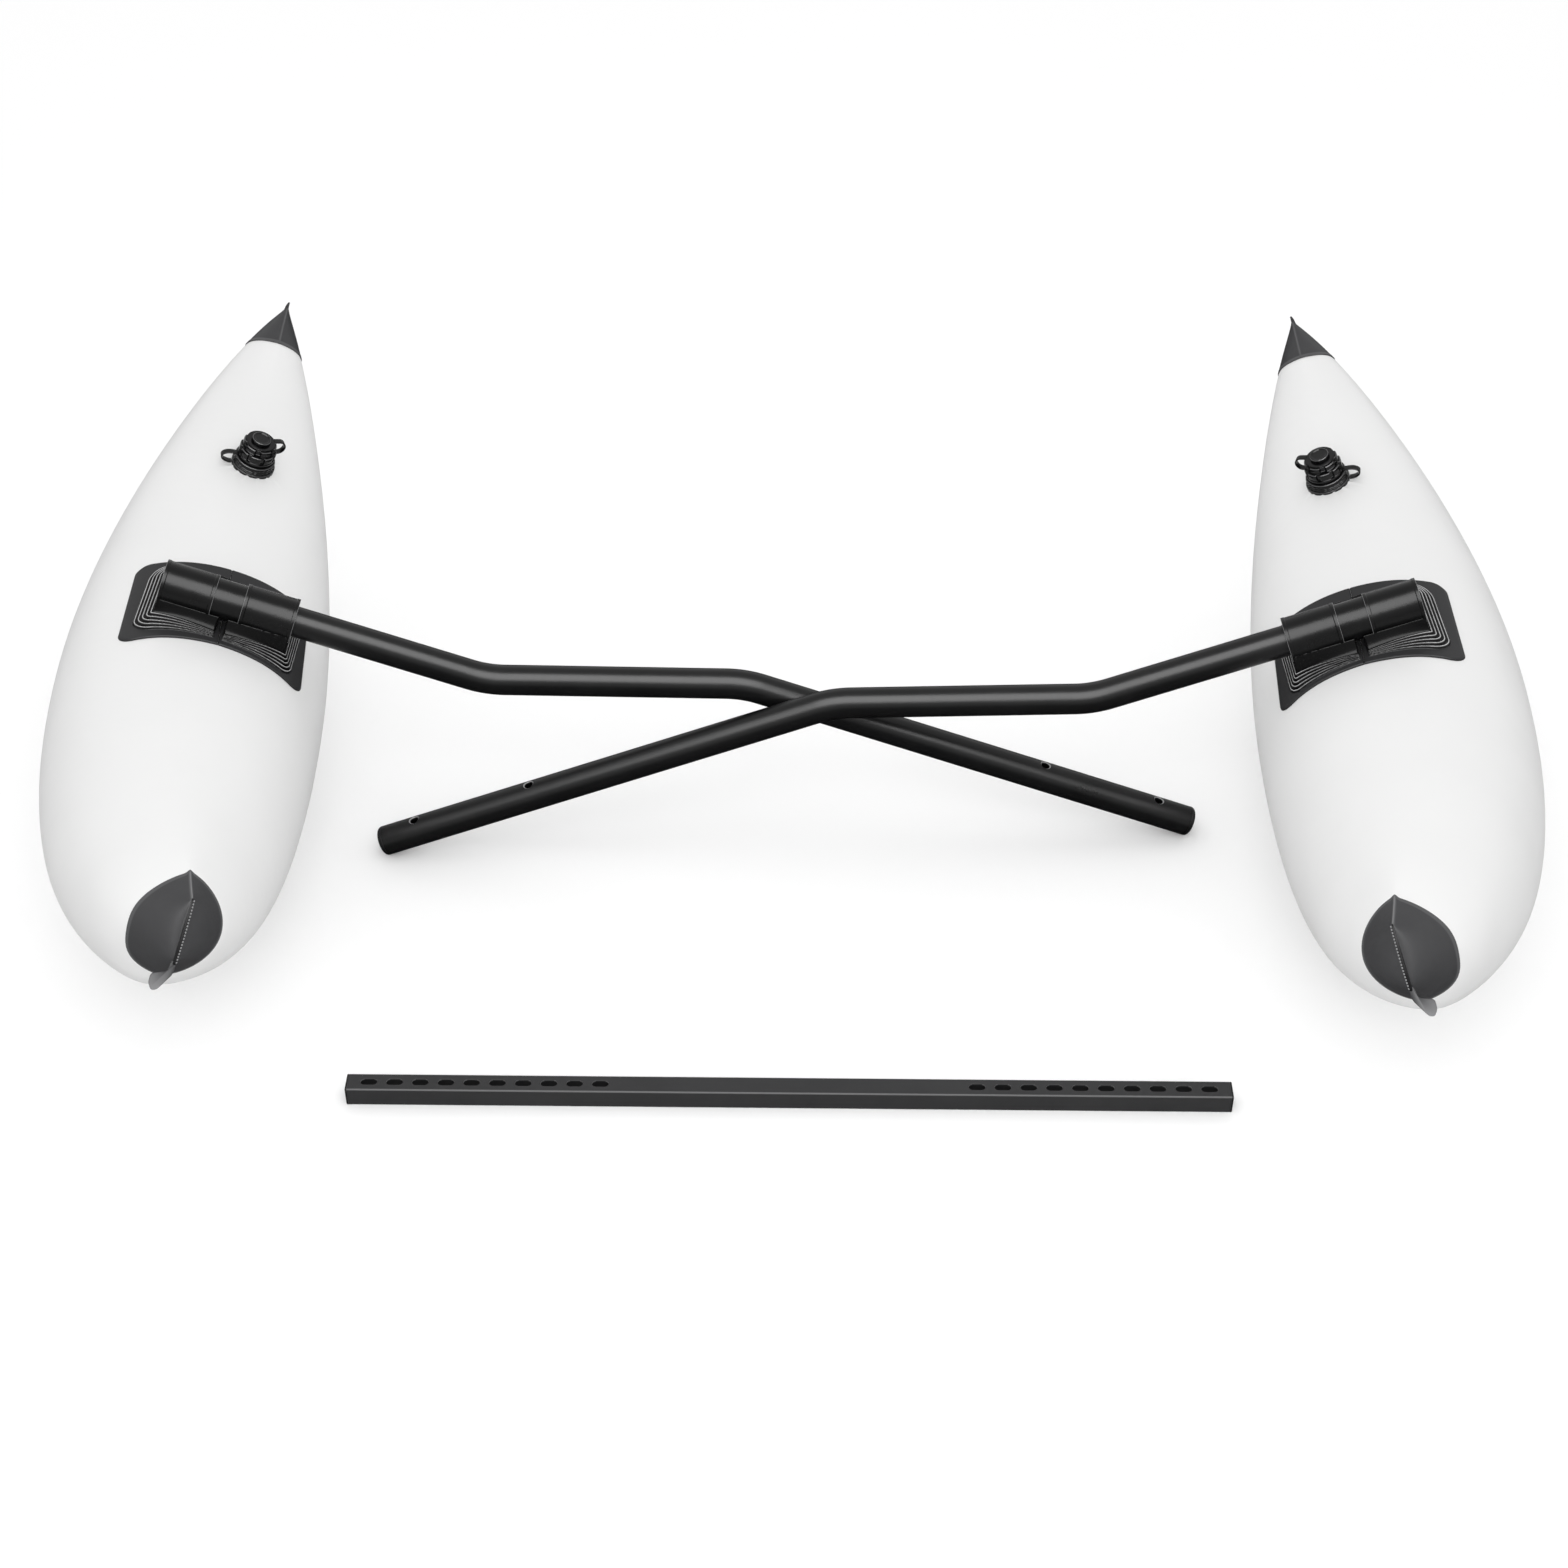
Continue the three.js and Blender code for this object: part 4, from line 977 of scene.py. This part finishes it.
def saddle_half(hand):
    """One half of the saddle: its top with the terraces, its underside on the hull and the rim between."""
    x, y, edge = pad_grid(hand)
    inward = np.clip(edge / flange_rounding, 0, 1)
    rounding = np.sqrt(np.maximum(1 - (1 - inward) ** 2, 0))
    top = in_sleeve_frame(x, y, on_hull(x, y, pad_top) - (pad_top - pad_edge_height) * (1 - rounding))
    bottom = in_sleeve_frame(x, y, on_hull(x, y, pad_underside))
    climb, lip = terraces(top)
    top[..., 2] += climb * inward
    rows, columns = x.shape
    points = np.concatenate([top.reshape(-1, 3), bottom.reshape(-1, 3)])
    under = rows * columns
    faces = []
    for i in range(rows - 1):
        for j in range(i * columns, (i + 1) * columns - 1):
            corners = [j, j + columns, j + columns + 1, j + 1]
            faces += [corners, [under + corner for corner in corners[::-1]]]
    rim = [i * columns for i in range(rows)] + [(rows - 1) * columns + j for j in range(1, columns)]
    rim += [i * columns + columns - 1 for i in range(rows - 2, -1, -1)] + list(range(columns - 2, 0, -1))
    faces += band(rim, [under + place for place in rim])
    # The lips are marked to be painted pale, as highlights.
    pad = mark(mesh_of(points, faces), np.concatenate([(lip * inward).ravel(), np.zeros(under)]))
    # The flange mark sets where the lighter grey is painted in place of sheen; elsewhere the near black stands
    # for shade.
    mark(pad, np.concatenate([(climb < flange_below).ravel(), np.ones(under)]), "flange")
    return faces_outward(pad)


rubber = moulded_rubber()
for side in ("left", "right"):
    for part, hand in rubber_end.items():
        fit(f"{side}_{part}_rubber_saddle", saddle_half(hand), rubber, f"{side}_float",
            [f"{side}_{part}_saddle"], sleeve_place(side), sharp=75)

# Sleeves. Two short tubes of stiff black coated fabric are bonded into the saddle's terraces, one each side
# of the groove, with a folded hem round each mouth. A liner tube runs through both and shows between them.
sleeve_length = 51
sleeve_spacing = 28
sleeve_radius = 21.6
sleeve_bore = 19.8
hem_stands = 0.1
fabric_sinks = 0.35
sleeve_hem = 3.2
rim_highlight_width = 0.5
liner_radius = 19.5
liner_bore = 15.3
weld_turn = math.radians(146)
weld_width = 0.024
weld_height = 0.45
about_x = Matrix.Rotation(math.pi / 2, 4, "Y")


def black_coated_fabric():
    # The paler colour is a painted highlight on the sleeves' weld and mouth rims.
    finish, patches, colour = patchy("black_coated_fabric", 35, (0.002, 0.002, 0.0021), (0.004, 0.004, 0.0042),
                                     (0.22, 0.22, 0.224))
    return finish.coat(colour, patches * 0.08 + 0.24, 0.15,
                       finish.cloud(1500, 1, 0.4) * 0.06 + patches, 0.0003)


def raised_weld(turn, radius, height):
    """Lifts the fabric along the weld that closes a sleeve round its tube."""
    return -weld_height * swell(turn, weld_turn, weld_width) * (radius > sleeve_bore + 0.5)


black_fabric = black_coated_fabric()
half = sleeve_length / 2
hem, skin = sleeve_radius + hem_stands, sleeve_radius - fabric_sinks
section = [(sleeve_bore, -half), (hem, -half), (hem, -half + sleeve_hem), (skin, -half + sleeve_hem + 0.5),
           (skin, half - sleeve_hem - 0.5), (hem, half - sleeve_hem), (hem, half), (sleeve_bore, half)]
liner_end = sleeve_end - 1
liner_section = [(liner_bore, -liner_end), (liner_radius, -liner_end), (liner_radius, liner_end),
                 (liner_bore, liner_end)]
for side in ("left", "right"):
    place = sleeve_place(side)
    for part, hand in rubber_end.items():
        tube = turned(eased(section, 0.5), 288, raised_weld)
        x, y, z = np.array([vertex.co for vertex in tube.vertices]).T
        reach = np.hypot(x, y)
        rim = (reach > sleeve_radius - rim_highlight_width) & (np.abs(z) > half - 0.3)
        # The weld and the rims at each mouth are marked to be painted paler, as painted highlights.
        weld = 0.8 * swell(np.arctan2(y, x), weld_turn, weld_width)
        mark(tube, np.where(reach > sleeve_bore + 0.5, np.maximum(weld, rim), 0))
        fit(f"{side}_{part}_sleeve_tube", tube, black_fabric, f"{side}_float",
            [f"{side}_{part}_sleeve"],
            place @ Matrix.Translation((hand * (sleeve_spacing / 2 + half), 0, 0)) @ about_x)
    fit(f"{side}_liner_tube", turned(eased(liner_section, 0.8), 96), black_fabric, f"{side}_liner",
        [f"{side}_liner"], place @ about_x)

# Inflation valves. A glossy black plastic base is welded to the hull. The valve body screws into it, and the
# cap screws into the body. Each has a strap ring round its neck, whose flat strap loops down beside it.
base_radius = 21
base_top = 11
base_bore = 13.6
socket_radius = 16
socket_end = -14
tether_thickness = 1.4
tether_width = 6
body_radius = 19
body_base = 13
body_top = 23.5
body_thread = 13.3
body_end = -11.6
airway = 8
cap_radius = 17
cap_base = 23.8
cap_top = 31
cap_stem = 7.7
cap_stem_end = cap_base - 9.5
button_base = 33
button_top = 36.5
button_radius = 9.8
cap_neck = 9
loop_end = math.radians(100)
loop_steps = 24
body_loop_swing = math.radians(12)
cap_loop_swing = math.radians(25)
highlight_width = 0.4
highlight_flatness = 1.2
notch_inner_radius = 12
notch_edge = 0.9


def glossy_black_plastic():
    # The paler colour is a painted highlight on the turned parts' marked edges.
    finish, patches, colour = patchy("glossy_black_plastic", 120, (0.002, 0.002, 0.0022),
                                     (0.005, 0.005, 0.0052), (0.12, 0.12, 0.122))
    return finish.coat(colour, patches * 0.06 + 0.09, 0.22, patches, 0.00008)


def painted_edge_highlights(mesh, edges):
    """Marks the rounded outer edges of a turned part, each given as (radius, height), to be painted paler as
    highlights.
    """
    x, y, z = np.array([vertex.co for vertex in mesh.vertices]).T
    shine = [swell(np.hypot((np.hypot(x, y) - radius) / highlight_flatness, z - height), 0, highlight_width)
             for radius, height in edges]
    return mark(mesh, np.max(shine, axis=0))


def notched(count, width, depth, above, below=math.inf, first=0.5):
    """Takes evenly spaced notches out of a turned part's outside."""
    def ripple(turn, radius, height):
        if radius < notch_inner_radius or not above <= height <= below:
            return np.zeros(turn.shape)
        off = ((turn / (2 * math.pi) * count - first + 0.5) % 1 - 0.5) * 2 * math.pi / count * radius
        return depth * smooth(np.clip((width / 2 - np.abs(off)) / notch_edge + 0.5, 0, 1))
    return ripple


def strap(ring_radius, low, anchor_radius, reach, drop):
    """The flat strap of a strap ring: out from the ring's top, then round and down to the piece below."""
    half = tether_thickness / 2
    high = low + tether_thickness
    centre = anchor_radius + 0.3 - reach * math.cos(loop_end)
    start = ring_radius - tether_thickness
    line = [(start, high - half), ((start + centre) / 2, high - half)]
    for turn in math.pi / 2 - (math.pi / 2 + loop_end) * np.arange(loop_steps + 1) / loop_steps:
        line.append((centre + (reach - half) * math.cos(turn), high - drop + (drop - half) * math.sin(turn)))
    section = eased([(half * out, tether_width / 2 * across) for out, across in (
        (-1, -1), (1, -1), (1, 1), (-1, 1))], 0.45, steps=3)
    rings = []
    for i, (x, z) in enumerate(line):
        before, after = line[max(i - 1, 0)], line[min(i + 1, len(line) - 1)]
        heading = math.atan2(after[1] - before[1], after[0] - before[0])
        rings.append(np.array([(x - out * math.sin(heading), across, z + out * math.cos(heading))
                               for out, across in section]))
    return skin_of(rings)


gloss = glossy_black_plastic()
base_section = eased([
    (14.8, -6), (valve_flange, -6), (valve_flange, 1.6), (valve_flange - 0.5, 2.5), (base_radius + 0.6, 2.5),
    (base_radius + 0.3, 4.0), (base_radius, 4.2), (base_radius, 5.6), (base_radius - 0.7, 5.9),
    (base_radius - 0.7, 6.9), (base_radius, 7.2), (base_radius, 8.9), (base_radius - 0.8, base_top - 0.4),
    (base_radius - 2.2, base_top), (base_bore, base_top), (base_bore, socket_end),
    (socket_radius, socket_end), (socket_radius, -6.2), (14.8, -6.1),
], 0.8)
body_section = eased([
    (airway, body_end), (body_thread, body_end), (body_thread, base_top), (12.7, base_top), (12.7, body_base),
    (body_radius, body_base), (body_radius, body_base + 2.2), (body_radius - 0.6, body_base + 2.7),
    (body_radius - 0.6, body_base + 3.4), (body_radius, body_base + 3.9), (body_radius, body_top - 0.8),
    (body_radius - 1, body_top), (airway, body_top),
], 0.8)
cap_section = eased([
    (0, cap_stem_end), (cap_stem, cap_stem_end), (cap_stem, cap_base), (cap_radius, cap_base),
    (cap_radius, cap_base + 1.4), (cap_radius - 0.5, cap_base + 1.8), (cap_radius - 0.5, cap_base + 2.3),
    (cap_radius, cap_base + 2.7), (cap_radius, cap_top - 0.9), (cap_radius - 1.2, cap_top),
    (cap_neck, cap_top), (cap_neck, button_base), (button_radius, button_base),
    (button_radius, button_top - 0.8), (button_radius - 0.9, button_top), (button_radius - 2.2, button_top),
    (button_radius - 2.9, button_top - 0.7), (0, button_top - 0.5),
], 0.8, loop=False)
turned_parts = (
    ("valve_base_ring", "valve_base", "float", base_section, 120, notched(24, 1.6, 0.5, 2.6, 10),
     [(valve_flange - 0.1, 2.2), (base_radius - 0.6, base_top - 0.7)]),
    ("valve_body_turned", "valve_body", "valve", body_section, 160, notched(8, 4, 2, body_base + 2.4),
     [(body_radius - 0.4, body_top - 0.4)]),
    ("valve_cap_turned", "valve_cap", "cap", cap_section, 144,
     notched(6, 6, 2.2, cap_base - 0.1, cap_top + 0.1),
     [(cap_radius - 0.5, cap_top - 0.4), (button_radius - 0.3, button_top - 0.3)]))
for side in ("left", "right"):
    place = sleeve_place(side) @ hull_in_sleeve @ valve_in_hull()
    for name, node, carrier, section, sides, notches, edges in turned_parts:
        fit(f"{side}_{name}", painted_edge_highlights(turned(section, sides, notches), edges), gloss,
            f"{side}_{carrier}", [f"{side}_{node}"], place)
    for name, carrier, neck, outer, low, anchor, reach, drop, swing in (
            ("body_tether", "body_ring", 13.0, body_radius - 1, base_top + 0.3, valve_flange, 10.5, 7,
             math.pi + body_loop_swing),
            ("cap_tether", "cap_ring", cap_neck + 0.3, cap_radius - 2, cap_top + 0.3, body_radius, 7.5, 8,
             cap_loop_swing)):
        high = low + tether_thickness
        ring = turned(eased([(neck, low), (outer, low), (outer, high), (neck, high)], 0.4), 96)
        fit(f"{side}_{name}_strap", joined(ring, strap(outer, low, anchor, reach, drop)), gloss,
            f"{side}_{carrier}", [f"{side}_{name}"], place @ Matrix.Rotation(swing, 4, "Z"))
    flap = frame["nodes"][f"{side}_valve_flap"]
    flap.data.materials.clear()
    flap.data.materials.append(plug_plastic)

# Studio. A plain pale floor under an even white sky. A small soft lamp between the floats casts no shadow,
# and a wide soft box above the camera shows only as the sheen on shiny parts. The floor and the sky below it
# are kept out of the reflections, as black flags keep them off glossy black parts in a studio.
camera_distance = 2.713
camera_height_angle = math.radians(39.84)
camera_lens = 59.69
camera_aside = -0.0042
camera_beyond_bar = 0.450
sky_strength = 1.0
sky_ends_at = (-0.02, -0.012)
floor_reach = 300
lamp_place, lamp_size, lamp_power = (0, -1.3, 1.5), (1, 1), 9
softbox_place, softbox_size, softbox_power = (0, -2.4, 4.5), (6, 4.5), 1000


def pale_floor():
    finish = Finish("pale_floor")
    pale = finish.between(finish.cloud(1.5, 2, 0.5), (0.97, 0.97, 0.97), (0.98, 0.98, 0.98))
    return finish.coat(pale, 0.85, 0.0)


def soft_light(name, place, size, power, sheen):
    light = bpy.data.lights.new(name, "AREA")
    light.shape = "RECTANGLE"
    light.size, light.size_y = size
    light.energy = power
    light.use_shadow = sheen
    holder = bpy.data.objects.new(name, light)
    holder.visible_camera = False
    holder.visible_diffuse = not sheen
    holder.visible_glossy = sheen
    bpy.context.scene.collection.objects.link(holder)
    holder.location = place
    holder.rotation_euler = (-Vector(place)).to_track_quat("-Z", "Y").to_euler()


floor_corners = ((-1, -1), (1, -1), (1, 1), (-1, 1))
floor_mesh = mesh_of([(x * floor_reach, y * floor_reach, 0) for x, y in floor_corners], [[0, 1, 2, 3]])
floor_mesh.materials.append(pale_floor())
floor = bpy.data.objects.new("studio_floor", floor_mesh)
floor.visible_glossy = False
bpy.context.scene.collection.objects.link(floor)
floor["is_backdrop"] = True

world = bpy.data.worlds.new("studio")
world.use_nodes = True
sky = world.node_tree
direction = sky.nodes.new("ShaderNodeSeparateXYZ")
sky.links.new(sky.nodes.new("ShaderNodeTexCoord").outputs["Generated"], direction.inputs[0])
fade = sky.nodes.new("ShaderNodeMapRange")
fade.inputs["From Min"].default_value, fade.inputs["From Max"].default_value = sky_ends_at
fade.inputs["To Max"].default_value = sky_strength
sky.links.new(direction.outputs["Z"], fade.inputs["Value"])
sky.nodes["Background"].inputs["Color"].default_value = (1, 1, 1, 1)
sky.links.new(fade.outputs[0], sky.nodes["Background"].inputs["Strength"])
bpy.context.scene.world = world

soft_light("lamp_between_the_floats", lamp_place, lamp_size, lamp_power, False)
soft_light("softbox_above_the_camera", softbox_place, softbox_size, softbox_power, True)

lens = bpy.data.cameras.new("camera")
lens.lens = camera_lens
lens.sensor_width = 36
lens.sensor_fit = "HORIZONTAL"
lens.clip_end = 2 * floor_reach
camera = bpy.data.objects.new("camera", lens)
bpy.context.scene.collection.objects.link(camera)
camera.location = (camera_aside,
                   bar_middle.y + camera_beyond_bar - camera_distance * math.cos(camera_height_angle),
                   camera_distance * math.sin(camera_height_angle))
camera.rotation_euler = (math.pi / 2 - camera_height_angle, 0, 0)
bpy.context.scene.camera = camera
bpy.context.scene.view_settings.view_transform = "Standard"

low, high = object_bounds()
